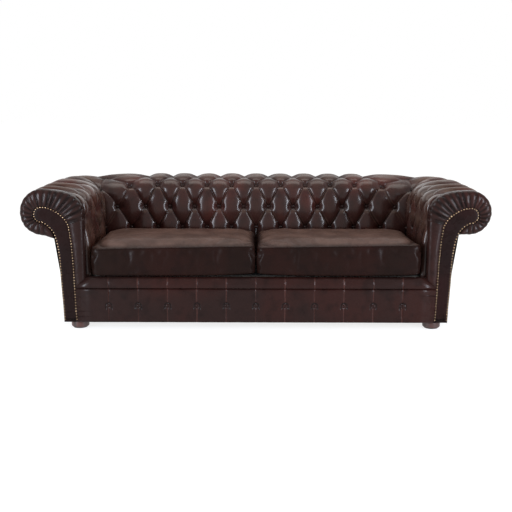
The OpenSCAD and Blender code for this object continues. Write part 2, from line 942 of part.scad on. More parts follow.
// Squat turned foot: rounded below, slightly drawn in at the top, bored for its bolt
bolt_low = glide_t + 8;
module foot(place) {
    r = foot_d / 2;
    round = 9;
    color("#23150f")
        translate([place[0], place[1], 0])
            difference() {
                rotate_extrude()
                    polygon(concat(
                        [[0, glide_t], [r - round, glide_t]],
                        [for (a = [-75:15:0]) [r - round + round * cos(a),
                                               glide_t + round + round * sin(a)]],
                        [[r, foot_h - 8], [r - 1.5, foot_h - 4], [r - 5, foot_h], [0, foot_h]]
                    ));
                translate([0, 0, bolt_low])
                    cylinder(d = bolt_d + 2 * bolt_gap, h = foot_h);
            }
}

module foot_bolts() {
    color("#8c8c8c")
        for (p = foot_places)
            translate([p[0], p[1], bolt_low])
                cylinder(d = bolt_d, h = rail_z + block_h - bolt_low);
}

module foot_glides() {
    color("#1a1a1a")
        for (p = foot_places)
            translate([p[0], p[1], 0])
                cylinder(d = glide_d, h = glide_t);
}

module on_left() {
    mirror([1, 0, 0])
        children();
}

front_rail();
rear_rail();
on_left() side_rail();  // side_rail_left
side_rail();  // side_rail_right
seat_stretchers();
corner_blocks();
back_posts();
on_left() arm_posts();  // arm_posts_left
arm_posts();  // arm_posts_right
back_top_rail();
on_left() arm_top_rail();  // arm_top_rail_left
arm_top_rail();  // arm_top_rail_right
on_left() scroll_board();  // scroll_board_left
scroll_board();  // scroll_board_right
seat_webbing();
deck_burlap();
deck_foam();
deck_cover();
back_lining();
on_left() arm_lining();  // arm_lining_left
arm_lining();  // arm_lining_right
front_border();
border_buttons();
seat_lip();
back_pad();
back_buttons();
on_left() arm_pad();  // arm_pad_left
arm_pad();  // arm_pad_right
on_left() arm_buttons();  // arm_buttons_left
arm_buttons();  // arm_buttons_right
on_left() arm_border();  // arm_border_left
arm_border();  // arm_border_right
on_left() arm_facing();  // arm_facing_left
arm_facing();  // arm_facing_right
on_left() nailheads();  // nailheads_left
nailheads();  // nailheads_right
on_left() outside_arm();  // outside_arm_left
outside_arm();  // outside_arm_right
outside_back();
dust_cover();
foot(foot_places[0]);  // foot_front_left
foot(foot_places[1]);  // foot_front_right
foot(foot_places[2]);  // foot_rear_left
foot(foot_places[3]);  // foot_rear_right
foot_bolts();
foot_glides();
on_left() cushion();  // cushion_left
cushion();  // cushion_right
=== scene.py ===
"""Rolled-arm, deep-buttoned leather sofa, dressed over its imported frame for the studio.

Inside the classes lengths are millimetres in the part's own frame: the front faces -Y, and the
floor is at Z = 0. They become metres when a mesh is made.
"""

import logging
import math
from collections.abc import Callable
from dataclasses import dataclass
from enum import Enum

import bmesh
import bpy
import numpy as np
from mathutils import Matrix, Vector
from mathutils.bvhtree import BVHTree


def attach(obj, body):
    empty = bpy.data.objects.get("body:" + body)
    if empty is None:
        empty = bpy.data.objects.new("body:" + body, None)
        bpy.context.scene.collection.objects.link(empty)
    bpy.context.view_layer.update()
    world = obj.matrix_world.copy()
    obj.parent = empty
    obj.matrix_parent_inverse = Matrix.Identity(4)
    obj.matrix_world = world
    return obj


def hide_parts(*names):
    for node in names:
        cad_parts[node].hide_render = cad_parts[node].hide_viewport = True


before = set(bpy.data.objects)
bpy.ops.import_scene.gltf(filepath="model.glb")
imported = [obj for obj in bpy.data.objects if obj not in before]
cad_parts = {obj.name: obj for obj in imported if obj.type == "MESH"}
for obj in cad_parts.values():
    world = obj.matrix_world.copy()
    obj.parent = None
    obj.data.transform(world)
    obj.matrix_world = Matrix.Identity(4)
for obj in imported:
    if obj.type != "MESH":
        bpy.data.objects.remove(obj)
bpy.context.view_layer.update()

log = logging.getLogger("sofa")
Array = np.ndarray
Object = bpy.types.Object
Socket = bpy.types.NodeSocket
Input = Socket | float | tuple
Faces = list[list[int]]
Surface = Callable[[Array, Array], Array]
Box = tuple[float, float, float, float]
Places = list[tuple[float, float]]

MM = 0.001
"""Metres in a millimetre."""


def linear(hex_colour: str) -> tuple[float, float, float, float]:
    """Turns a written colour into the renderer's linear one.

    Args:
        hex_colour: six hexadecimal digits, such as "3c2621".

    Returns:
        Red, green, blue and alpha.
    """
    parts = [int(hex_colour[i : i + 2], 16) / 255 for i in (0, 2, 4)]
    light = [c / 12.92 if c <= 0.04045 else ((c + 0.055) / 1.055) ** 2.4 for c in parts]
    return (light[0], light[1], light[2], 1.0)


class Side(Enum):
    """Which arm or cushion a piece belongs to; the left one stands at -X."""

    LEFT = -1
    RIGHT = 1

    @property
    def word(self) -> str:
        """The side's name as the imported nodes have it."""
        return self.name.lower()


# Finishes


class Shader:
    """A material's node tree with short calls for the nodes that the finishes use."""

    def __init__(self, name: str) -> None:
        """Makes an empty material.

        Args:
            name: the material's name.
        """
        self.material = bpy.data.materials.new(name)
        self.material.use_nodes = True
        self.tree = self.material.node_tree
        self.body = self.tree.nodes["Principled BSDF"]
        self.place = self.node("ShaderNodeTexCoord").outputs["Object"]

    def node(self, kind: str, **inputs: Input) -> bpy.types.Node:
        """Adds a node and sets or links its inputs.

        Args:
            kind: the node's type.
            inputs: values or sockets by input name, with underscores for spaces.

        Returns:
            The new node.
        """
        made = self.tree.nodes.new(kind)
        for key, value in inputs.items():
            self.feed(made.inputs[key.replace("_", " ")], value)
        return made

    def feed(self, socket: Socket, value: Input) -> None:
        """Links a socket to the input, or sets its plain value.

        Args:
            socket: the input's socket.
            value: the socket or the value that it takes.
        """
        if isinstance(value, Socket):
            self.tree.links.new(value, socket)
        else:
            socket.default_value = value

    def set(self, **inputs: Input) -> None:
        """Sets or links the surface's own inputs."""
        for key, value in inputs.items():
            self.feed(self.body.inputs[key.replace("_", " ")], value)

    def noise(self, scale: float, detail: float = 2.0, place: Socket | None = None) -> Socket:
        """Soft noise, 0 to 1.

        Args:
            scale: cells to the metre.
            detail: how many finer layers it has.
            place: where it is read, or None for the object's own place.

        Returns:
            The noise's socket.
        """
        where = self.place if place is None else place
        made = self.node("ShaderNodeTexNoise", Vector=where, Scale=scale, Detail=detail)
        return made.outputs["Fac"]

    def cells(self, scale: float, edges: bool, place: Socket | None = None) -> Socket:
        """Distances among scattered cells.

        Args:
            scale: cells to the metre.
            edges: whether to measure to the edge between two cells, or to a cell's point.
            place: where it is read, or None for the object's own place.

        Returns:
            The distance's socket.
        """
        where = self.place if place is None else place
        made = self.node("ShaderNodeTexVoronoi", Vector=where, Scale=scale)
        made.feature = "DISTANCE_TO_EDGE" if edges else "F1"
        return made.outputs["Distance"]

    def bent(self, amount: float, scale: float) -> Socket:
        """The place moved about by noise, so that cells and lines don't look ruled.

        Args:
            amount: how far it moves, in metres.
            scale: the noise's cells to the metre.

        Returns:
            The moved place's socket.
        """
        noise = self.node("ShaderNodeTexNoise", Vector=self.place, Scale=scale, Detail=2.0)
        drift = self.node("ShaderNodeVectorMath")
        drift.operation = "MULTIPLY_ADD"
        self.feed(drift.inputs[0], noise.outputs["Color"])
        drift.inputs[1].default_value = (amount, amount, amount)
        self.feed(drift.inputs[2], self.place)
        return drift.outputs[0]

    def stretched(self, scale: tuple[float, float, float]) -> Socket:
        """The place scaled by axis, for grain and threads that run one way."""
        made = self.node("ShaderNodeMapping", Vector=self.place, Scale=scale)
        return made.outputs["Vector"]

    def mark(self, name: str) -> Socket:
        """A value that the mesh carries at its points.

        Args:
            name: the value's name.

        Returns:
            Its socket, 0 on a mesh that has none.
        """
        made = self.tree.nodes.new("ShaderNodeAttribute")
        made.attribute_name = name
        return made.outputs["Fac"]

    def span(self, value: Socket, low: float, high: float, to: tuple[float, float]) -> Socket:
        """Maps one range onto another, smoothly and within its ends.

        Args:
            value: the value that is mapped.
            low: where the range starts.
            high: where it ends.
            to: what its two ends become.

        Returns:
            The mapped value's socket.
        """
        made = self.node("ShaderNodeMapRange", Value=value)
        made.interpolation_type = "SMOOTHSTEP"
        ends = {"From Min": low, "From Max": high, "To Min": to[0], "To Max": to[1]}
        for end, amount in ends.items():
            made.inputs[end].default_value = amount
        return made.outputs["Result"]

    def math(self, operation: str, a: Input, b: Input) -> Socket:
        """One sum on two values.

        Args:
            operation: the sum's name.
            a: the first value.
            b: the second value.

        Returns:
            The result's socket.
        """
        made = self.tree.nodes.new("ShaderNodeMath")
        made.operation = operation
        self.feed(made.inputs[0], a)
        self.feed(made.inputs[1], b)
        return made.outputs[0]

    def blend(self, share: Input, a: Input, b: Input) -> Socket:
        """Mixes two colours.

        Args:
            share: how much of the second colour there is, 0 to 1.
            a: the first colour.
            b: the second colour.

        Returns:
            The mixed colour's socket.
        """
        made = self.tree.nodes.new("ShaderNodeMix")
        made.data_type = "RGBA"
        factor, first, second = 0, 6, 7
        self.feed(made.inputs[factor], share)
        self.feed(made.inputs[first], a)
        self.feed(made.inputs[second], b)
        return made.outputs[2]

    def bump(self, height: Socket, depth: float, under: Socket | None = None) -> Socket:
        """Raises the surface's shading by a height.

        Args:
            height: the height's socket, 0 to 1.
            depth: the height in millimetres that 1 stands for.
            under: the bump below this one, or None.

        Returns:
            The normal's socket.
        """
        made = self.node("ShaderNodeBump", Height=height)
        made.inputs["Distance"].default_value = depth * MM
        if under is not None:
            self.feed(made.inputs["Normal"], under)
        return made.outputs["Normal"]


@dataclass(frozen=True)
class Leather:
    """Aniline leather: clouded dye, painted shade in the folds, crests and lips paled by wear and painted
    highlight, pebble grain and creases.

    Colours are written as hexadecimal digits, grain and creases in cells to the metre, and the
    depths of the shading in millimetres.
    """

    name: str
    base: str = "331f1b"
    # The darkest dye: clouds and crease lines, and painted shade in the pits, pleats and tucks
    deep_dye_and_shade: str = "110908"
    warm: str = "4a1d17"
    # The pale colour of wear, also laid on as painted highlight and painted top light
    rubbed_and_lit: str = "806a50"
    roughness: float = 0.3
    coat: float = 0.85
    coat_roughness: float = 0.22
    coat_ior: float = 1.28
    worn_coat: float = 0.12
    shine: float = 0.05
    worn_shine: float = 0.01
    grain: float = 300.0
    creases: float = 55.0
    texture: float = 1.0
    soft_depth: float = 0.16
    crease_depth: float = 0.12
    grain_depth: float = 0.05

    def dye(self, s: Shader, lines: Socket) -> Socket:
        """Colours the leather: clouds, painted shade in the folds, crests paled by wear and painted
        highlight, and dark crease lines.

        Args:
            s: the leather's shader.
            lines: distance from the crease lines.

        Returns:
            The colour's socket.
        """
        deep_dye_and_shade = linear(self.deep_dye_and_shade)
        warmth = s.span(s.noise(3.1), 0.42, 0.66, (0, 0.85))
        dye = s.blend(warmth, linear(self.base), linear(self.warm))
        dye = s.blend(s.span(s.noise(17.0, 3), 0.45, 0.75, (0, 0.5)), dye, deep_dye_and_shade)
        # Painted shade: pits, pleats, gathers and tucks are darkened towards the darkest dye by their
        # mark
        dye = s.blend(s.span(s.mark("fold_shade"), 0.35, 1.0, (0, 0.85)), dye, deep_dye_and_shade)
        # Painted highlight and top light, with some wear: crests, lips, tops and inside arms are paled by
        # their mark
        scuff_and_highlight = s.math("MULTIPLY", s.mark("rub_and_highlight"), s.span(s.noise(9.0, 3), 0.3, 0.7, (0.55, 1)))
        dye = s.blend(s.math("MULTIPLY", scuff_and_highlight, 0.55), dye, linear(self.rubbed_and_lit))
        return s.blend(s.span(lines, 0.0, 0.03, (0.3 * self.texture, 0)), dye, deep_dye_and_shade)

    def dress(self, s: Shader) -> None:
        """Sets up the leather's nodes.

        Args:
            s: the shader that they go into.
        """
        lines = s.cells(self.creases, True, s.bent(0.012, 40.0))
        pebbles = s.cells(self.grain, False, s.bent(0.002, 260.0))
        rough = s.span(s.noise(26.0, 3), 0.3, 0.7, (self.roughness - 0.07, self.roughness + 0.09))
        soft = s.bump(s.noise(20.0, 1), self.soft_depth * self.texture)
        creased = s.bump(s.span(lines, 0.0, 0.09, (0, 1)), self.crease_depth * self.texture, soft)
        pebbled = s.span(pebbles, 0.1, 0.75, (1, 0))
        fine = s.bump(pebbled, self.grain_depth * self.texture, creased)
        s.set(Base_Color=self.dye(s, lines), Roughness=rough, Normal=fine)
        gloss = s.span(s.mark("worn"), 0, 1, (self.coat, self.worn_coat * self.coat))
        s.set(Coat_Weight=gloss, Coat_Roughness=self.coat_roughness)
        s.set(Coat_IOR=self.coat_ior, Coat_Normal=soft)
        s.set(Specular_IOR_Level=s.span(s.mark("worn"), 0, 1, (self.shine, self.worn_shine)))


@dataclass(frozen=True)
class Wood:
    """Planed or stained timber with long grain and pores along one axis."""

    name: str
    pale: str
    dark: str
    stretch: tuple[float, float, float]
    roughness: float = 0.5
    coat: float = 0.0

    def dress(self, s: Shader) -> None:
        """Sets up the timber's nodes.

        Args:
            s: the shader that they go into.
        """
        run = s.stretched(self.stretch)
        bands = s.noise(38.0, 4, run)
        pores = s.noise(420.0, 2, run)
        tone = s.blend(s.span(bands, 0.3, 0.7, (0, 1)), linear(self.pale), linear(self.dark))
        tone = s.blend(s.span(pores, 0.55, 0.75, (0, 0.45)), tone, linear(self.dark))
        rough = s.span(bands, 0.2, 0.8, (self.roughness - 0.08, self.roughness + 0.1))
        s.set(Base_Color=tone, Roughness=rough, Normal=s.bump(pores, 0.15), Coat_Weight=self.coat)


@dataclass(frozen=True)
class Woven:
    """Plain-woven cloth or webbing: crossing threads, fuzz and slight fading."""

    name: str
    thread: str
    shade: str
    threads: float = 900.0
    roughness: float = 0.9
    fuzz: float = 0.25

    def dress(self, s: Shader) -> None:
        """Sets up the cloth's nodes.

        Args:
            s: the shader that they go into.
        """
        waves = []
        for axis in ("X", "Y"):
            wave = s.node("ShaderNodeTexWave", Vector=s.place, Scale=self.threads / math.tau)
            wave.bands_direction = axis
            wave.inputs["Distortion"].default_value = 0.6
            waves.append(wave.outputs["Fac"])
        weave = s.math("MULTIPLY", waves[0], waves[1])
        fade = s.noise(9.0, 3)
        tone = s.blend(s.span(weave, 0.0, 0.6, (0.6, 0)), linear(self.thread), linear(self.shade))
        tone = s.blend(s.span(fade, 0.4, 0.75, (0, 0.35)), tone, linear(self.shade))
        rough = s.span(fade, 0.2, 0.8, (self.roughness - 0.06, self.roughness + 0.06))
        s.set(Base_Color=tone, Roughness=rough, Normal=s.bump(weave, 0.4), Sheen_Weight=self.fuzz)


@dataclass(frozen=True)
class Metal:
    """Nail and bolt metal with tarnish in patches."""

    name: str
    bright: str
    tarnish: str
    roughness: float = 0.32

    def dress(self, s: Shader) -> None:
        """Sets up the metal's nodes.

        Args:
            s: the shader that they go into.
        """
        patches = s.noise(90.0, 4)
        tone = s.blend(s.span(patches, 0.42, 0.7, (0, 0.9)), linear(self.bright), linear(self.tarnish))
        rough = s.span(patches, 0.3, 0.7, (self.roughness - 0.08, self.roughness + 0.14))
        s.set(Base_Color=tone, Roughness=rough, Normal=s.bump(patches, 0.05), Metallic=1.0)


@dataclass(frozen=True)
class Moulded:
    """Moulded or foamed plastic with a fine texture."""

    name: str
    colour: str
    shade: str
    cells: float = 700.0
    roughness: float = 0.6

    def dress(self, s: Shader) -> None:
        """Sets up the plastic's nodes.

        Args:
            s: the shader that they go into.
        """
        pits = s.cells(self.cells, False)
        cloud = s.noise(14.0, 3)
        tone = s.blend(s.span(cloud, 0.35, 0.7, (0, 0.6)), linear(self.colour), linear(self.shade))
        rough = s.span(cloud, 0.2, 0.8, (self.roughness - 0.08, self.roughness + 0.08))
        s.set(Base_Color=tone, Roughness=rough, Normal=s.bump(pits, 0.12))


class Finish(Enum):
    """Every finish on the sofa, by the record's material slot that it belongs to."""

    TUFTED = Leather("tufted_leather", base="2b1613", warm="401a15", rubbed_and_lit="5f4c40")
    # The cushion's pale colour is painted top light on its top
    CUSHION = Leather(
        "cushion_leather", base="180d0a", warm="200f0c", rubbed_and_lit="7c6157",
        roughness=0.38, coat=0.08, grain=280.0, creases=38.0, texture=0.4,
    )
    BORDER = Leather(
        "border_leather", base="221412", warm="2b1512", rubbed_and_lit="764a42",
        coat=0.28, creases=48.0, texture=0.7,
    )
    FACING = Leather("facing_leather", base="190f0e", warm="20100f", coat=0.04, creases=60.0)
    PANEL = Leather("panel_leather", base="281714", warm="321814", roughness=0.42, coat=0.2, creases=34.0)
    BUTTON = Leather("button_leather", base="22120f", warm="2a1411", coat=0.3, grain=420.0, creases=140.0)
    TIMBER = Wood("frame_timber", "b98f5e", "8a6238", (0.12, 1.0, 1.0))
    FOOT = Wood("foot_timber", "45201a", "230f0b", (1.0, 1.0, 0.15), 0.4, 0.2)
    WEBBING = Woven("webbing", "8f7a52", "5d4c30", 620.0)
    HESSIAN = Woven("hessian", "a08a62", "6f5c3d", 500.0)
    PLATFORM = Woven("platform_cloth", "1b1815", "0d0c0b", 1100.0, fuzz=0.03)
    FOAM = Moulded("foam", "45423d", "302e2a", 900.0, 0.95)
    BRASS = Metal("nail_brass", "b89c7c", "5f4836")
    STEEL = Metal("bolt_steel", "8f8f8f", "5c5a57")
    GLIDE = Moulded("glide_plastic", "1b1a19", "0f0f0e")

    @property
    def slot(self) -> str:
        """The record's slot of that name."""
        return self.value.name

    @property
    def material(self) -> bpy.types.Material:
        """The finish's material, made the first time that it is asked for.

        Returns:
            The material.
        """
        name = "dressed_" + self.slot
        if name not in bpy.data.materials:
            self.value.dress(Shader(name))
        return bpy.data.materials[name]


# Outlines and meshes


def cubic(a: Array, b: Array, c: Array, d: Array, steps: int) -> Array:
    """Points of a cubic curve, without its first.

    Args:
        a: where the curve starts.
        b: its first handle.
        c: its second handle.
        d: where it ends.
        steps: how many points it gets.

    Returns:
        The points after a, up to d.
    """
    t = np.linspace(0, 1, steps + 1)[1:, None]
    u = 1 - t
    return u**3 * a + 3 * u * u * t * b + 3 * u * t * t * c + t**3 * d


def arc(centre: Array, r: float, start: float, sweep: float, steps: int) -> Array:
    """Points of a clockwise arc, without its first; its start and sweep are in degrees."""
    angle = np.radians(start - sweep * np.arange(1, steps + 1) / steps)
    return centre + r * np.stack([np.cos(angle), np.sin(angle)], axis=1)


class Outline:
    """A path in the (n, z) plane that is read by the distance along it."""

    def __init__(self, points: Array) -> None:
        """Measures the path.

        Args:
            points: the points that it runs through.
        """
        self.points = points
        steps = np.linalg.norm(np.diff(points, axis=0), axis=1)
        self.marks = np.concatenate([[0.0], np.cumsum(steps)])
        self.length = float(self.marks[-1])

    def at(self, s: Array) -> Array:
        """The (n, z) of the path at distances along it."""
        n, z = (np.interp(s, self.marks, self.points[:, axis]) for axis in (0, 1))
        return np.stack([n, z], axis=-1)

    def inward(self, s: Array, reach: float = 2.0) -> Array:
        """Unit normals to the right of the path's direction.

        Args:
            s: distances along the path.
            reach: how far before and after the place its direction is measured.

        Returns:
            The normal at each distance.
        """
        along = self.at(np.asarray(s) + reach) - self.at(np.asarray(s) - reach)
        along = along / np.linalg.norm(along, axis=-1, keepdims=True)
        return np.stack([along[..., 1], -along[..., 0]], axis=-1)


class Wander:
    """Smooth seeded noise over points, about -1 to 1."""

    def __init__(self, seed: int) -> None:
        """Draws the noise's lattice."""
        self.lattice = np.random.default_rng(seed).uniform(-1, 1, (32, 32, 32))

    def at(self, points: Array, size: float) -> Array:
        """Noise at points, with features of that size.

        Args:
            points: rows of two or three coordinates in millimetres.
            size: size of a feature in millimetres.

        Returns:
            One value a point.
        """
        x = np.asarray(points, dtype=float) / size
        if x.shape[-1] == 2:
            x = np.concatenate([x, np.zeros(x.shape[:-1] + (1,))], axis=-1)
        low = np.floor(x).astype(int)
        f = x - low
        f = f * f * (3 - 2 * f)
        total = np.zeros(x.shape[:-1])
        for corner in np.ndindex(2, 2, 2):
            i = (low + corner) % 32
            share = np.prod(np.where(np.array(corner) == 1, f, 1 - f), axis=-1)
            total += share * self.lattice[i[..., 0], i[..., 1], i[..., 2]]
        return total


@dataclass
class Solid:
    """Points and faces of a piece before it becomes a mesh."""

    points: Array
    faces: Faces
    marks: dict[str, Array]

    def mirrored(self, side: Side) -> "Solid":
        """The same piece, mirrored onto the other arm when the side is the left one."""
        flip = np.array([-1.0, 1.0, 1.0])
        return self if side is Side.RIGHT else Solid(self.points * flip, self.faces, self.marks)

    def piece(
        self, name: str, finish: Finish, nodes: list[str], body: str = "sofa_frame"
    ) -> Object:
        """Makes the visible piece.

        Args:
            name: the piece's name.
            finish: its finish.
            nodes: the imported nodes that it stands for.
            body: the body that it rides on.

        Returns:
            The new object.
        """
        mesh = bpy.data.meshes.new(name)
        mesh.from_pydata((self.points * MM).tolist(), [], self.faces)
        for mark, values in self.marks.items():
            store = mesh.attributes.new(mark, "FLOAT", "POINT")
            store.data.foreach_set("value", np.asarray(values, dtype=np.float32))
        work = bmesh.new()
        work.from_mesh(mesh)
        bmesh.ops.recalc_face_normals(work, faces=work.faces)
        work.to_mesh(mesh)
        work.free()
        mesh.shade_smooth()
        mesh.materials.append(finish.material)
        made = bpy.data.objects.new(name, mesh)
        bpy.context.scene.collection.objects.link(made)
        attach(made, body)
        if nodes:
            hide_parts(*nodes)
        log.info("%s: %d points, %d faces", name, len(mesh.vertices), len(mesh.polygons))
        return made


def ring_faces(low: int, high: int, count: int) -> Faces:
    """Quads between two closed rings, from the indices of their first points."""
    pairs = [(k, (k + 1) % count) for k in range(count)]
    return [[low + a, low + b, high + b, high + a] for a, b in pairs]


def joined(solids: list[Solid]) -> Solid:
    """Several solids as one.

    Args:
        solids: the solids, all with the same marks.

    Returns:
        One solid of all their points and faces.
    """
    faces, start = [], 0
    for part in solids:
        faces += [[i + start for i in face] for face in part.faces]
        start += len(part.points)
    marks = {
        key: np.concatenate([part.marks[key] for part in solids]) for key in solids[0].marks
    }
    return Solid(np.concatenate([part.points for part in solids]), faces, marks)


def lofted(sections: Array, fold_shade: Array | None = None) -> Solid:
    """Closed skin through sections.

    Args:
        sections: array of sections, points in each, and three coordinates.
        fold_shade: how much painted shade each point gets, or None.

    Returns:
        The skin with a fan at each end.
    """
    n, m = sections.shape[:2]
    j, i = np.meshgrid(np.arange(n - 1), np.arange(m), indexing="ij")
    a, b = j * m + i, j * m + (i + 1) % m
    quads = np.stack([a, a + m, b + m, b], axis=-1).reshape(-1, 4).tolist()
    ends = np.stack([sections[0].mean(axis=0), sections[-1].mean(axis=0)])
    foot, top = n * m, n * m + 1
    caps = [[foot, k, (k + 1) % m] for k in range(m)]
    caps += [[top, (n - 1) * m + (k + 1) % m, (n - 1) * m + k] for k in range(m)]
    marks = {} if fold_shade is None else {"fold_shade": np.append(fold_shade.reshape(-1), [0.0, 0.0])}
    return Solid(np.concatenate([sections.reshape(-1, 3), ends]), quads + caps, marks)


def turned(profile: list[tuple[float, float]], turns: int) -> Solid:
    """Solid of revolution about z.

    Args:
        profile: (radius, height) pairs from bottom to top, the first and last on the axis.
        turns: points round each ring.

    Returns:
        The closed solid.
    """
    rings = profile[1:-1]
    angle = np.arange(turns) * math.tau / turns
    points = [[0.0, 0.0, profile[0][1]]]
    for r, z in rings:
        points += [[r * math.cos(a), r * math.sin(a), z] for a in angle]
    points.append([0.0, 0.0, profile[-1][1]])
    faces = [[0, 1 + (k + 1) % turns, 1 + k] for k in range(turns)]
    for j in range(len(rings) - 1):
        low = 1 + j * turns
        faces += ring_faces(low, low + turns, turns)
    top, last = len(points) - 1, 1 + (len(rings) - 1) * turns
    faces += [[top, last + k, last + (k + 1) % turns] for k in range(turns)]
    return Solid(np.array(points), faces, {})


def stood(solid: Solid, place: Array, axis: Array, twist: float = 0.0) -> Solid:
    """Moves a turned solid to a place.

    Args:
        solid: the solid, made about z.
        place: where its origin goes.
        axis: the direction that its z takes.
        twist: how far it is turned about that axis, in radians.

    Returns:
        The moved solid.
    """
    z = axis / np.linalg.norm(axis)
    x = np.cross([0.3, 0.9, 0.2], z)
    x /= np.linalg.norm(x)
    y = np.cross(z, x)
    c, s = math.cos(twist), math.sin(twist)
    basis = np.stack([c * x + s * y, -s * x + c * y, z])
    return Solid(solid.points @ basis + place, solid.faces, solid.marks)


# The sofa's sizes


@dataclass(frozen=True)
class Sizes:
    """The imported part's driving lengths that the dressing needs, in millimetres."""

    overall_w: float = 2380.0
    overall_d: float = 920.0
    overall_h: float = 725.0
    roll_r: float = 112.5
    roll_out: float = 230.0
    pad_lean: float = 12.0
    spring_drop: float = 22.5
    pad_t: float = 62.0
    roll_pad_t: float = 45.0
    end_share: float = 0.43
    border_out: float = 22.0
    board_t: float = 38.0
    deck_h: float = 280.0
    foot_h: float = 40.0
    gap: float = 0.3
    pad_z: float = 188.14
    cloth_z: float = 184.5
    stem_out: float = 141.0
    curve_steps: int = 60
    round_steps: int = 90

    @property
    def roll_z(self) -> float:
        """Height of the roll's centre."""
        return self.overall_h - self.roll_r

    @property
    def spring_z(self) -> float:
        """Height at which the inside pads start to curve over."""
        return self.roll_z - self.spring_drop

    @property
    def half_w(self) -> float:
        """Distance of an arm pad's foot from the middle."""
        return self.overall_w / 2 - self.roll_out - self.roll_r

    @property
    def back_y(self) -> float:
        """Where the back pad's foot stands."""
        return self.overall_d / 2 - self.roll_out - self.roll_r

    @property
    def front_y(self) -> float:
        """The front of the arms' rings."""
        return -self.overall_d / 2

    @property
    def board_y(self) -> float:
        """The front of the scroll boards."""
        return self.front_y + self.border_out

    @property
    def arm_y(self) -> float:
        """The back of the scroll boards, where the arm pads end."""
        return self.board_y + self.board_t

    @property
    def roll_end(self) -> float:
        """How far out the roll's underside ends."""
        return self.roll_out - self.end_share * self.roll_r

    @property
    def crest_step(self) -> int:
        """Index of the crest among the points of a roll's outline."""
        return 1 + self.curve_steps

    @property
    def under_step(self) -> int:
        """Index of the roll's lowest point there."""
        return self.crest_step + self.round_steps

    def roll(
        self, low: Array, spring: Array, rise: float = 0.0, handles: tuple[float, float] = (0.8, 0.55)
    ) -> Outline:
        """Outline that rises from low to spring, curves over and goes round under the roll.

        Args:
            low: foot of the outline.
            spring: place where it starts to curve.
            rise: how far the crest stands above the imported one.
            handles: how long the curve keeps straight at its start and at its crest.

        Returns:
            The outline, with the same number of points for every rise and handle.
        """
        crest = self.overall_h + rise
        up = np.array([handles[0] * (spring[0] - low[0]) / 4, handles[0] * (crest - spring[1])])
        top = np.array([self.roll_out, crest])
        over = np.array([self.roll_out - handles[1] * (self.roll_out - spring[0]), crest])
        centre = np.array([self.roll_out, self.roll_z])
        round_end = arc(centre, self.roll_r, 90, 180, self.round_steps)
        above = np.clip((round_end[:, 1] - self.roll_z) / self.roll_r, 0, 1)
        round_end[:, 1] += rise * above
        end = [[self.roll_end, self.roll_z - self.roll_r]]
        curve = cubic(spring, spring + up, over, top, self.curve_steps)
        return Outline(np.concatenate([[low, spring], curve, round_end, end]))

    def outside(self) -> Outline:
        """Outer face of the outside panels, from the floor end up under the roll.

        Returns:
            The outline: nearly upright, then leaning out to the roll's underside.
        """
        low = np.array([self.stem_out, self.foot_h])
        rise = self.roll_z - self.roll_r - self.foot_h
        lower = np.array([1.04 * self.stem_out, self.foot_h + 0.34 * rise])
        upper = np.array([1.05 * self.stem_out, self.foot_h + 0.89 * rise])
        end = np.array([self.roll_end - self.gap, self.foot_h + rise])
        return Outline(np.concatenate([[low], cubic(low, lower, upper, end, 40)]))


SIZES = Sizes()


# Buttoned pads


class Run(Enum):
    """Which way a pad or a panel runs from the sofa's rear corners."""

    BACK = "back"
    ARM = "arm"


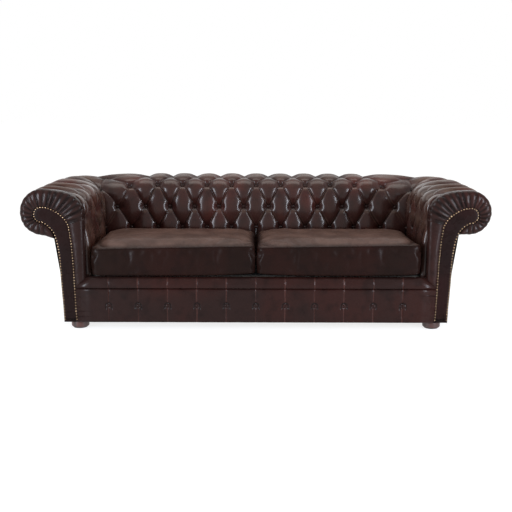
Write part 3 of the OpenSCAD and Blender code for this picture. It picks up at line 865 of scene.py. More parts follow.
@dataclass(frozen=True)
class Buttoning:
    """The lattice of buttons and pleats, and the leather's depth under its crests."""

    diamonds: int = 12
    row_pitch: float = 118.5
    first_row: float = 257.0
    depth: float = 38.0
    rows: int = 4
    run_out: float = 1.6
    corner_share: float = 0.35
    pleat_share: float = 0.46
    fullness: float = 0.5
    overhang: float = 0.2
    pucker: float = 0.35
    pit: float = 0.3
    brow: float = 3.5
    brow_at: float = 0.2
    brow_w: float = 0.075
    ripple: float = 13.0
    uneven: float = 1.0
    arm_uneven: float = 1.8

    @property
    def pitch(self) -> float:
        """Width of a diamond."""
        return 2 * SIZES.half_w / self.diamonds

    def row_of(self, s: Array) -> Array:
        """Row number at a distance up the pad."""
        return (s - self.first_row) / self.row_pitch

    def lattice(self, w: Array, s: Array) -> tuple[Array, Array]:
        """Coordinates across the falling and the rising pleats, whole numbers on a pleat."""
        a, r = w / self.pitch, np.clip(self.row_of(s), 0, self.rows - 1)
        return a + r / 2, a - r / 2

    def share(self, corner: Array) -> Array:
        """Share of the full depth at a distance from the nearest mitred corner."""
        near = np.clip(corner / self.pitch, 0, 1)
        return self.corner_share + (1 - self.corner_share) * near

    def round_buttons(self, fp: Array, fq: Array) -> tuple[Array, Array]:
        """What a place gets from the four buttons at its diamond's corners.

        Args:
            fp: place in the diamond across the falling pleats, 0 to 1.
            fq: place across the rising pleats.

        Returns:
            How far it is out of the nearest pit, and how much of a brow it has under a button.
        """
        lift = self.row_pitch / self.pitch
        near = np.full(fp.shape, np.inf)
        brow = np.zeros(fp.shape)
        for i, j in np.ndindex(2, 2):
            rise = (fp - i - fq + j) * lift
            far = np.hypot((fp - i + fq - j) / 2, rise)
            near = np.minimum(near, far)
            under = np.clip(-rise / np.maximum(far, 0.01), 0, 1) ** 4
            ring = np.exp(-(((far - self.brow_at) / self.brow_w) ** 2))
            brow = np.maximum(brow, ring * under)
        return np.clip(near / self.pit, 0, 1), brow

    def crests(self, p: Array, q: Array, past: Array, rim: Array, seed: int) -> Array:
        """How high the pillows stand.

        Args:
            p: coordinate across the falling pleats.
            q: coordinate across the rising pleats.
            past: rows above or below the buttoning.
            rim: how far a place is out of the nearest pit.
            seed: seed of each pillow's own fullness.

        Returns:
            The height, from 0 in a pit to 1 on a crest.
        """
        ip, iq = np.floor(p), np.floor(q)
        fp, fq = p - ip, q - iq
        draw = np.random.default_rng(seed).uniform(-1, 1, (64, 64))
        full = draw[(ip + 20).astype(int) % 64, (iq + 20).astype(int) % 64]
        # A pillow hangs over the pleats below it and meets those above it on a long slope
        lean = self.overhang * np.clip(1 - past, 0, 1)
        hang_p = np.clip(fp, 0, 1) ** (1 - lean)
        hang_q = 1 - np.clip(1 - fq, 0, 1) ** (1 - lean)
        dome = np.maximum(0, np.sin(np.pi * hang_p) * np.sin(np.pi * hang_q))
        edge = 1 - (1 - rim) ** 2
        pillow = dome ** (self.fullness + 0.06 * full)
        return self.pleat_share * edge + (1 - self.pleat_share) * pillow * (0.5 + 0.5 * edge)

    def relief(
        self, w: Array, s: Array, corner: Array, run: Run, seed: int
    ) -> tuple[Array, Array, Array]:
        """Depth of the leather under the crests, and its marks.

        Args:
            w: distance along the pad from its corner.
            s: distance up the pad.
            corner: distance from the nearest mitred corner.
            run: the back, or an arm, whose leather is looser and drawn along the roll.
            seed: seed of the leather's own unevenness.

        Returns:
            The depth in millimetres, how much painted shade a point gets in the pits and pleats, and how
            much it is paled by wear and painted highlight.
        """
        arm = run is Run.ARM
        p, q = self.lattice(w, s)
        fp, fq = p - np.floor(p), q - np.floor(q)
        row = self.row_of(s)
        past = np.maximum(0, np.maximum(-row, row - self.rows + 1))
        fade = np.clip(1 - past / self.run_out, 0, 1)
        rim, brow = self.round_buttons(fp, fq)
        crest = self.crests(p, q, past, rim, seed)
        depth = self.depth * self.share(corner) * fade * (1 - crest)
        wander = Wander(seed + 1)
        flat = np.stack([w, s], axis=-1)
        # Puckers stand across the pleats and run out on the pillows
        from_p, from_q = np.minimum(fp, 1 - fp), np.minimum(fq, 1 - fq)
        line = np.minimum(from_p, from_q) * self.pitch * 0.76
        side = np.hypot(self.pitch / 2, self.row_pitch / 2)
        along = np.where(from_p < from_q, q, p) * side
        ripple = np.cos(math.tau * along / self.ripple + 3.0 * wander.at(flat, 60.0))
        depth += self.pucker * ripple * np.exp(-line / 4.5) * np.clip(line / 3.0, 0, 1) * fade
        slack = np.clip(line / 14.0, 0, 1) * (self.arm_uneven if arm else self.uneven)
        drawn = flat * ([0.35, 1.0] if arm else [1.0, 1.0])
        depth += (wander.at(flat, 75.0) + 0.06 * wander.at(drawn, 17.0)) * slack
        # The top of each pillow stands up under the button above it
        depth -= self.brow * brow * fade
        # Painted shade: a place is painted darker the further it lies below the crests, most in the pits
        # and pleats
        fold_shade = np.clip(1.28 - 1.7 * crest, 0, 1) * fade
        # Painted highlight: the lips of the folds are paler in places, and so are the brow under each
        # button and the crests of the top rows, where light from above falls; the leather past the
        # buttoning is painted evenly paler
        patchy = np.clip(0.5 + 0.9 * wander.at(flat, 90.0), 0, 1)
        lip = np.exp(-(((line - 5.5) / 2.6) ** 2)) * patchy
        rub_and_highlight = np.clip((crest - 0.72) / 0.28, 0, 1) * np.clip((row - 1.6) / 1.6, 0.1, 1)
        rub_and_highlight = np.maximum(np.maximum(rub_and_highlight, 0.6 * lip * rim), 0.75 * brow * (1 - fold_shade))
        plain = 1 - np.clip(fade, 0, 1) ** 0.5
        rub_and_highlight = rub_and_highlight * (1 - plain) + 0.3 * plain
        # Painted light: the inside of an arm is painted paler in streaks
        if arm:
            streaks = np.clip(0.6 + wander.at(drawn, 50.0), 0, 1)
            rub_and_highlight = np.maximum(rub_and_highlight, 0.55 * streaks * (1 - fold_shade))
        return np.maximum(depth, -1.0), fold_shade, rub_and_highlight


BUTTONING = Buttoning()


@dataclass
class TuftedPads:
    """Back and arm pads with their buttons: one skin outline, true mitres at the corners."""

    fine_columns: int = 40
    fine_rows: int = 20
    fine_until: float = 820.0
    plain_step: float = 12.0
    corner_ease: float = 1.5
    mitre_gap: float = 0.25
    rise: float = 12.0
    handles: tuple[float, float] = (1.08, 0.64)
    corner_power: float = 5.0
    sink: float = 4.5
    back_seed: int = 11
    arm_seed: int = 40

    def __post_init__(self) -> None:
        """Measures the skin that all three pads share, and the fuller one of the stuffed leather."""
        low, spring = np.array([0.0, SIZES.pad_z]), np.array([SIZES.pad_lean, SIZES.spring_z])
        self.skin = SIZES.roll(low, spring)
        self.full = SIZES.roll(low, spring + [0, 4], self.rise, self.handles)
        self.spring = float(self.skin.marks[1])
        self.top = float(self.skin.marks[SIZES.crest_step])

    @property
    def arm_length(self) -> float:
        """Length of an arm pad from the mitre to the scroll board."""
        return SIZES.back_y - SIZES.arm_y - SIZES.gap

    def heights(self) -> Array:
        """Distances of the rows of points up the pad.

        Returns:
            The distances, in step with the pleats where there are any.
        """
        step = BUTTONING.row_pitch / self.fine_rows
        low = BUTTONING.first_row % step
        fine = np.arange(low, self.fine_until, step)
        plain = np.arange(fine[-1] + step, self.skin.length - 4, self.plain_step)
        return np.concatenate([[0.0], fine[fine > 1], plain, [self.skin.length]])

    def reach(self, w: Array, n: Array) -> Array:
        """How far a point at depth n lies past the mitred corner."""
        ease = self.corner_ease * BUTTONING.pitch
        return -w + (n - self.mitre_gap) * np.maximum(0, 1 - w / ease)

    def rounded(self, u: Array, v: Array) -> tuple[Array, Array]:
        """Rounds the roll's outer corner in plan.

        Args:
            u: distances past the one pad's foot.
            v: distances past the other's.

        Returns:
            The two distances on the rounded corner.
        """
        a, b = np.maximum(u, 0.0), np.maximum(v, 0.0)
        far = np.maximum(np.maximum(a, b), 1.0)
        power = self.corner_power
        pull = far / ((a**power + b**power) ** (1 / power)).clip(1.0)
        ramp = np.clip((far - 60) / 140, 0, 1)
        pull = 1 + (np.minimum(pull, 1.0) - 1) * ramp * ramp * (3 - 2 * ramp)
        return np.where(u > 0, u * pull, u), np.where(v > 0, v * pull, v)

    def place(self, run: Run, w: Array, nz: Array) -> Array:
        """Points in space on the back or the right arm.

        Args:
            run: the back or the arm.
            w: distances along the back from its left end, or along the arm from its corner.
            nz: how far out they are, and how high.

        Returns:
            The points in space.
        """
        n, z = nz[..., 0], nz[..., 1]
        if run is Run.ARM:
            out, past = self.rounded(n, self.reach(w, n))
            return np.stack([SIZES.half_w + out, SIZES.back_y + past, z], axis=-1)
        far = 2 * SIZES.half_w - w
        near = w < SIZES.half_w
        past, out = self.rounded(np.where(near, self.reach(w, n), self.reach(far, n)), n)
        x = (SIZES.half_w + past) * np.where(near, -1, 1)
        return np.stack([x, SIZES.back_y + out, z], axis=-1)

    def thickness(self, s: Array) -> Array:
        """Thickness of the pad under its crests, at distances up it."""
        marks, high = [0, self.spring, self.top, self.skin.length], SIZES.roll_pad_t
        return np.interp(s, marks, [SIZES.pad_t, SIZES.pad_t - SIZES.pad_lean, high, high])

    def from_corner(self, run: Run, w: Array) -> Array:
        """Distance of a place along a pad from its nearest mitred corner."""
        return np.minimum(w, 2 * SIZES.half_w - w) if run is Run.BACK else w

    def fullness(self, run: Run, w: Array) -> Array:
        """How full the shoulder is.

        Args:
            run: the back or an arm.
            w: distances along the pad.

        Returns:
            The share of the full outline, less at the corners and at the arm fronts.
        """
        corner = -0.3 + 1.3 * np.clip(self.from_corner(run, w) / 190, 0, 1)
        if run is Run.BACK:
            return corner
        return corner * np.clip(1 - 0.9 * w / self.arm_length, 0.1, 1)

    def leather_at(self, s: Array, full: Array) -> Array:
        """The (n, z) on the leather's crests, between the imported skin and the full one.

        Args:
            s: distances up the pad.
            full: how much of the full skin each place has.

        Returns:
            The (n, z) there.
        """
        count = np.arange(len(self.skin.marks))
        step = np.interp(s, self.skin.marks, count)
        plump = np.stack([np.interp(step, count, self.full.points[:, k]) for k in (0, 1)], axis=-1)
        share = np.asarray(full)[..., None]
        return self.skin.at(s) * (1 - share) + plump * share

    def across(self, s: Array, full: Array) -> Array:
        """Unit normals of the leather, into the pad.

        Args:
            s: distances up the pad.
            full: how much of the full skin each place has.

        Returns:
            The normals.
        """
        along = self.leather_at(np.asarray(s) + 2, full) - self.leather_at(np.asarray(s) - 2, full)
        along = along / np.linalg.norm(along, axis=-1, keepdims=True)
        return np.stack([along[..., 1], -along[..., 0]], axis=-1)

    def under(self, s: Array, depth: Array, full: Array = 0.0) -> Array:
        """The (n, z) at a depth under the leather's crests."""
        full = np.broadcast_to(full, np.shape(s))
        return self.leather_at(s, full) + self.across(s, full) * np.asarray(depth)[..., None]

    def tufted_faces(self, ww: Array, ss: Array) -> Array:
        """Triangles of the tufted face, split along the pleats.

        Args:
            ww: distances of its points along the pad.
            ss: their distances up the pad.

        Returns:
            Three indices a triangle.
        """
        rows, columns = ww.shape
        j, i = np.meshgrid(np.arange(rows - 1), np.arange(columns - 1), indexing="ij")
        a = j * columns + i
        b, c, d = a + 1, a + columns, a + columns + 1
        p, q = BUTTONING.lattice(ww[:-1, :-1] + 1.7, ss[:-1, :-1] + 2.9)
        off_p, off_q = np.abs(p - np.round(p)), np.abs(q - np.round(q))
        rising = (off_q < off_p)[..., None]
        first = np.where(rising, np.stack([a, b, d], -1), np.stack([a, b, c], -1))
        second = np.where(rising, np.stack([a, d, c], -1), np.stack([b, d, c], -1))
        return np.concatenate([first.reshape(-1, 3), second.reshape(-1, 3)])

    def closing_faces(self, rows: int, columns: int) -> Faces:
        """Triangles of a pad's back and ends, which have two points a row.

        Args:
            rows: rows of points on the face.
            columns: points in each of them.

        Returns:
            The faces that close the pad.
        """
        inner = rows * columns
        faces = []
        for k in range(rows - 1):
            lo, hi = inner + 2 * k, inner + 2 * k + 2
            left, right = k * columns, (k + 1) * columns - 1
            faces += [[lo, hi, lo + 1], [lo + 1, hi, hi + 1]]
            faces += [[left, left + columns, lo], [left + columns, hi, lo]]
            faces += [[right, lo + 1, right + columns], [right + columns, lo + 1, hi + 1]]
        top, inner_top = (rows - 1) * columns, inner + 2 * (rows - 1)
        faces += [[k, inner, k + 1] for k in range(columns - 1)]
        faces += [[columns - 1, inner, inner + 1]]
        faces += [[top + k, top + k + 1, inner_top] for k in range(columns - 1)]
        faces += [[top + columns - 1, inner_top + 1, inner_top]]
        return faces

    def pad(self, run: Run, w: Array, seed: int) -> Solid:
        """Builds a pad: a tufted face, a plain back and two flat ends.

        Args:
            run: the back or an arm.
            w: distances of the columns along the pad.
            seed: seed of the leather's unevenness.

        Returns:
            The closed pad.
        """
        s = self.heights()
        ss, ww = np.meshgrid(s, w, indexing="ij")
        depth, fold_shade, rub_and_highlight = BUTTONING.relief(ww, ss, self.from_corner(run, ww), run, seed)
        ends = (ss <= 0) | (ss >= self.skin.length)
        depth = np.where(ends, 0, depth)
        face = self.place(run, ww, self.under(ss, depth, self.fullness(run, ww)))
        both, sides = np.stack([s, s], 1), np.tile([w[0], w[-1]], (len(s), 1))
        back = self.place(run, sides, self.under(both, self.thickness(both)))
        faces = self.tufted_faces(ww, ss).tolist() + self.closing_faces(*ww.shape)
        worn = np.clip((BUTTONING.row_of(ss) - 2.1) / 1.1, 0, 1)
        spare = np.zeros(2 * len(s))
        # The points carry their painted shade and their wear and painted highlight as marks, with the top
        # rows' worn gloss
        marks = {
            name: np.append(values.reshape(-1), spare)
            for name, values in (("fold_shade", fold_shade), ("rub_and_highlight", rub_and_highlight), ("worn", worn))
        }
        return Solid(np.concatenate([face.reshape(-1, 3), back.reshape(-1, 3)]), faces, marks)

    def button(self) -> Solid:
        """A covered button: a low dome with a rolled rim."""
        rim = [(0, -4), (5.5, -3.5), (8.6, 0.2), (9.3, 2.2), (9.0, 4.0)]
        return turned(rim + [(7.4, 5.7), (4.6, 6.9), (2.0, 7.4), (0, 7.5)], 22)

    def pits(self, run: Run) -> list[tuple[float, float]]:
        """Where the buttons go.

        Args:
            run: the back or an arm.

        Returns:
            The distance along the pad and up it of each.
        """
        pitch, found = BUTTONING.pitch, []
        for row in range(BUTTONING.rows):
            s = BUTTONING.first_row + row * BUTTONING.row_pitch
            if run is Run.BACK:
                places = [(i + row % 2 / 2) * pitch for i in range(BUTTONING.diamonds + 1 - row % 2)]
            else:
                count = int(self.arm_length / pitch) + 1
                places = [(i + row % 2 / 2) * pitch for i in range(count)]
                places = [w for w in places if 1 < w < self.arm_length - pitch / 4]
            found += [(w, s) for w in places]
        return found

    def buttons(self, run: Run) -> Solid:
        """Sets a covered button into each pit.

        Args:
            run: the back or an arm.

        Returns:
            The buttons as one solid.
        """
        set_in = []
        dome = self.button()
        for k, (w, s) in enumerate(self.pits(run)):
            depth = BUTTONING.depth * BUTTONING.share(self.from_corner(run, w)) - self.sink
            full = np.array(self.fullness(run, np.array(w)))
            centre = self.place(run, np.array(w), self.under(np.array(s), np.array(depth), full))
            out, up = -self.across(np.array(s), full)
            facing = np.array([out, 0.0, up])
            if run is Run.BACK:
                # In the mitres a button faces half-way to the arm
                lean = 0.7 * out * (1 if w < SIZES.half_w else -1)
                facing = np.array([-lean if self.from_corner(run, w) < 1 else 0.0, out, up])
            set_in.append(stood(dome, centre, facing, 0.7 * k))
        return joined(set_in)

    def build(self) -> None:
        """Makes the three pads and their buttons."""
        across = np.linspace(0, 2 * SIZES.half_w, BUTTONING.diamonds * self.fine_columns + 1)
        along = np.arange(0, self.arm_length, BUTTONING.pitch / self.fine_columns)
        along = np.append(along[along < self.arm_length - 1.5], self.arm_length)
        back = self.pad(Run.BACK, across, self.back_seed)
        pads = [back.piece("back_leather", Finish.TUFTED, ["back_pad"])]
        for side in Side:
            arm = self.pad(Run.ARM, along, self.arm_seed + side.value).mirrored(side)
            node = f"arm_pad_{side.word}"
            pads.append(arm.piece(f"arm_leather_{side.word}", Finish.TUFTED, [node]))
        studs = self.buttons(Run.BACK)
        studs.piece("back_buttons_covered", Finish.BUTTON, ["back_buttons"])
        for side in Side:
            studs = self.buttons(Run.ARM).mirrored(side)
            node = f"arm_buttons_{side.word}"
            studs.piece(f"arm_buttons_covered_{side.word}", Finish.BUTTON, [node])


# Arm fronts


@dataclass
class ArmFronts:
    """Scroll facings, their nails, and the border tube with its gathered ring."""

    facing_w: float = 68.0
    facing_t: float = 8.0
    ring_w: float = 69.5
    border_in: float = 25.0
    border_t: float = 20.0
    lip_slope: float = 40.0
    gathers: int = 20
    gather_depth: float = 11.0
    nail_pitch: float = 14.5
    nail_d: float = 6.6
    nail_in: float = 4.9
    waist_share: float = 0.42
    gather_share: float = 0.5
    step: float = 2.2
    flank_steps: int = 40
    head_steps: int = 60
    facing_side: float = 10.0
    roll_side: float = -2.0
    gather_seed: int = 5
    ring_seed: int = 60
    nail_seed: int = 3

    def __post_init__(self) -> None:
        """Lays out the facing's outline and the border's outer edge."""
        z = SIZES
        head = np.array([z.roll_out + 6, z.roll_z - 14.5])
        head_r = z.roll_r - self.ring_w
        out_n = z.stem_out - 3
        in_n = out_n - self.facing_w
        foot = z.foot_h
        neck = np.array([in_n + 0.38 * self.facing_w, head[1] - head_r - self.border_t])
        waist_z = z.roll_z - 2 * z.roll_r + 12.5
        panel = z.outside().points
        waist = np.array([np.interp(waist_z, panel[:, 1], panel[:, 0]) - 2, waist_z])
        top, under = head + [0, head_r], head - [0, head_r]
        low = np.array([in_n, foot])
        k = self.flank_steps
        outline = np.concatenate([
            [low],
            cubic(low, low + [10, 185], neck - [22, 126], neck, k),
            cubic(neck, neck + [8, 50], head + [-62, head_r], top, k),
            arc(head, head_r, 90, 180, self.head_steps),
            cubic(under, head - [36, head_r + 15], waist + [4, 100], waist, k),
            cubic(waist, waist - [3, 100], [out_n + 9, foot + 125], [out_n, foot], k),
        ])
        # On its outer side the leather laps the outside panel's edge
        flank = outline[2 * k + self.head_steps + 1 :]
        panel_n = np.interp(flank[:, 1], panel[:, 1], panel[:, 0])
        lap = np.clip((z.roll_z - z.roll_r - flank[:, 1]) / 12, 0, 1)
        flank[:, 0] = np.maximum(flank[:, 0], panel_n * lap + flank[:, 0] * (1 - lap))
        self.facing = Outline(outline)
        turns = (k, 2 * k, 2 * k + self.head_steps, 3 * k + self.head_steps)
        self.neck_mark, self.head_top, self.head_under, self.waist_mark = (
            float(self.facing.marks[turn]) for turn in turns
        )
        self.border_low = z.deck_h - 10
        self.border = z.roll(
            np.array([self.border_in, self.border_low]),
            np.array([self.border_in, z.spring_z + 10]),
        )
        self.gather_from = z.spring_z - self.border_low

    def facing_at(self, s: Array) -> Array:
        """Where the border starts on the facing.

        Args:
            s: distances along the border.

        Returns:
            The distance along the facing's outline for each.
        """
        marks = self.border.marks
        start = self.border_low - self.lip_slope - SIZES.foot_h
        end = self.head_under + self.waist_share * (self.waist_mark - self.head_under)
        return np.interp(
            s,
            [0, self.gather_from, marks[SIZES.crest_step], marks[SIZES.under_step], self.border.length],
            [start, self.neck_mark + 32, self.head_top, self.head_under, end],
        )

    def droop(self, s: Array) -> Array:
        """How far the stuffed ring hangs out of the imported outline.

        Args:
            s: distances along the border.

        Returns:
            The offset out and up at each.
        """
        top = float(self.border.marks[SIZES.crest_step])
        end = float(self.border.marks[SIZES.under_step])
        turn = [top - 60, top, (top + end) / 2, top + 0.74 * (end - top), end, self.border.length]
        out = np.interp(s, turn, [0, 0, 3, 6, 0, -4])
        up = np.interp(s, turn, [0, 4, -1, -6, -9, -25])
        return np.stack([out, up], axis=1)

    def pleats(self, s: Array) -> Array:
        """Depth of the gathers, deepest on the crest of the ring.

        Args:
            s: distances along the border.

        Returns:
            The depth at each, 0 to about 1.
        """
        draw = np.random.default_rng(self.gather_seed)
        count = self.gathers + 1
        span = (self.border.length - self.gather_from) / self.gathers
        at = self.gather_from + span * (np.arange(count) + draw.uniform(-0.16, 0.16, count))
        at[0] = self.gather_from
        round_ring = np.linspace(0, 1, count)
        strength = np.interp(round_ring, [0, 0.35, 0.5, 0.65, 0.8, 1], [1.15, 1.1, 0.5, 0.8, 0.9, 0.4])
        depth = strength * draw.uniform(0.6, 1.2, count)
        phase = np.interp(s, at, np.arange(1.0 * count), left=-1.0)
        whole = np.round(phase)
        off = np.abs(phase - whole)
        strong = np.interp(whole, np.arange(1.0 * count), depth)
        valley = strong * (1 - np.minimum(1, 2 * off) ** 0.42)
        return np.where(s < self.gather_from - span / 2, 0.0, valley)

    def border_solid(self, seed: int, slump: float) -> Solid:
        """The padded border: a smooth tube up the arm, then a ring of gathers.

        Args:
            seed: seed of the leather's unevenness.
            slump: how much of the full droop this ring has.

        Returns:
            The closed border.
        """
        s = np.linspace(0, self.border.length, int(self.border.length / self.step))
        inner = self.facing.at(self.facing_at(s))
        packed = self.border.at(s)
        outer = packed + slump * self.droop(s)
        across = outer - inner
        width = np.linalg.norm(across, axis=1)
        way = across / width[:, None]
        phi = np.linspace(0, np.pi, 34)
        q = width[:, None] * (1 - np.cos(phi)) / 2
        start = np.where(phi < np.pi / 2, self.facing_side, self.roll_side)
        rise = start + (SIZES.border_out - start) * np.sin(phi)
        share = (1 - np.cos(phi)) / 2
        valley = self.pleats(s)[:, None]
        # Gathers are sharp at the facing and run out over the roll
        reach = np.interp(share, [0, 0.1, 0.55, 0.85, 1], [0.55, 1.0, 0.8, 0.5, 0.32])
        dip = self.gather_depth * valley * reach
        ring = np.clip((s - self.gather_from) / 12, 0, 1)[:, None]
        fine = Wander(seed)
        mix = np.stack(np.broadcast_arrays(s[:, None], 70 * share), axis=-1)
        dip = dip + (0.5 + 0.6 * ring) * fine.at(mix, 26.0) * np.sin(phi)
        dip = dip + 0.35 * fine.at(mix, 9.0) * np.sin(phi)
        y = SIZES.board_y - rise + dip * np.sin(0.35 + 0.65 * phi)
        shrink = dip * np.interp(share, [0, 0.6, 1], [0, 0.15, 1.0])
        q = q - np.maximum(shrink, 0)
        back = SIZES.arm_y - SIZES.gap
        front = SIZES.board_y - SIZES.gap
        flap = width - self.border_t
        side_q = np.stack([q[:, -1], q[:, -1], flap, flap, np.full_like(flap, SIZES.gap)], 1)
        side_y = np.broadcast_to([SIZES.board_y + 20, back, back, front, front], side_q.shape)
        q = np.maximum(np.concatenate([q, side_q], 1), SIZES.gap)
        y = np.concatenate([y, side_y], 1)
        nz = inner[:, None, :] + way[:, None, :] * q[..., None]
        nz[:, len(phi) + 1] = packed - way * self.gather_share
        points = np.stack([SIZES.half_w + nz[..., 0], y, nz[..., 1]], -1)
        # Painted shade in the valleys of the gathers, and the whole ring a little darker; a faint painted
        # highlight on the crests between the gathers
        fold_shade = np.zeros(q.shape)
        fold_shade[:, : len(phi)] = np.clip(1.2 * valley * reach + 0.5 * ring, 0, 1)
        skin = lofted(points, fold_shade)
        crest = np.zeros(q.shape)
        crest[:, : len(phi)] = np.clip(1 - 3 * valley, 0, 1) * np.sin(phi) * 0.12 * ring
        skin.marks["rub_and_highlight"] = np.append(crest.reshape(-1), [0, 0])
        return skin

    def facing_solid(self) -> Solid:
        """The covered facing board: a softly crowned face with rounded edges.

        Returns:
            The closed board.
        """
        count = 260
        s = np.linspace(0, self.facing.length, count)
        edge = self.facing.at(s)
        way = self.facing.inward(s, 6.0)
        diagonal = 0.707
        way[0], way[-1] = [diagonal, diagonal], [-diagonal, diagonal]
        face = SIZES.board_y - self.facing_t
        # (distance in from the edge, distance in front of the face) of each ring of points
        rings = [
            (0.0, -self.facing_t), (0.0, -2.4), (0.7, -0.9), (2.2, 0.0), (5.0, 0.5), (12.0, 1.4),
            (19.0, 1.9), (19.6, 1.9),
        ]
        layers, faces = [], []
        for inset, proud in rings:
            nz = edge + way * inset
            nz[:, 1] = np.maximum(nz[:, 1], SIZES.foot_h + inset)
            y = np.full(count, face - proud)
            layers.append(np.stack([SIZES.half_w + nz[:, 0], y, nz[:, 1]], -1))
        last = (len(rings) - 1) * count
        for low in range(0, last, count):
            faces += ring_faces(low, low + count, count)
        faces += [list(range(last, last + count)), list(range(count))[::-1]]
        return Solid(np.concatenate(layers), faces, {})

    def nails(self) -> Solid:
        """A row of domed nails just inside the facing's edge.

        Returns:
            The nails as one solid.
        """
        count = int((self.facing.length - 2 * self.nail_pitch) / self.nail_pitch)
        s = np.linspace(self.nail_pitch, self.facing.length - self.nail_pitch, count + 1)
        at = self.facing.at(s) + self.facing.inward(s) * self.nail_in
        r = self.nail_d / 2
        head = [(r, 0.25), (0.93 * r, 0.8), (0.72 * r, 1.5), (0.4 * r, 2.0), (0, 2.2)]
        dome = turned([(0, 0), (0.9 * r, 0.0)] + head, 12)
        draw = np.random.default_rng(self.nail_seed).uniform(-0.25, 0.25, (count + 1, 2))
        face = SIZES.board_y - self.facing_t - 0.3
        heads = [
            stood(dome, np.array([SIZES.half_w + n, face, z]), np.array([t[0] * 0.3, -1.0, t[1] * 0.3]))
            for (n, z), t in zip(at, draw)
        ]
        return joined(heads)

    def build(self) -> None:
        """Makes both arm fronts."""
        for side in Side:
            word = side.word
            slump = 1.0 if side is Side.LEFT else -0.1
            tube = self.border_solid(self.ring_seed + side.value, slump).mirrored(side)
            ring = tube.piece(f"arm_border_leather_{word}", Finish.BORDER, [f"arm_border_{word}"])
            board = self.facing_solid().mirrored(side)
            board.piece(f"arm_facing_leather_{word}", Finish.FACING, [f"arm_facing_{word}"])
            heads = self.nails().mirrored(side)
            heads.piece(f"facing_nails_{word}", Finish.BRASS, [f"nailheads_{word}"])


# Front border and lip


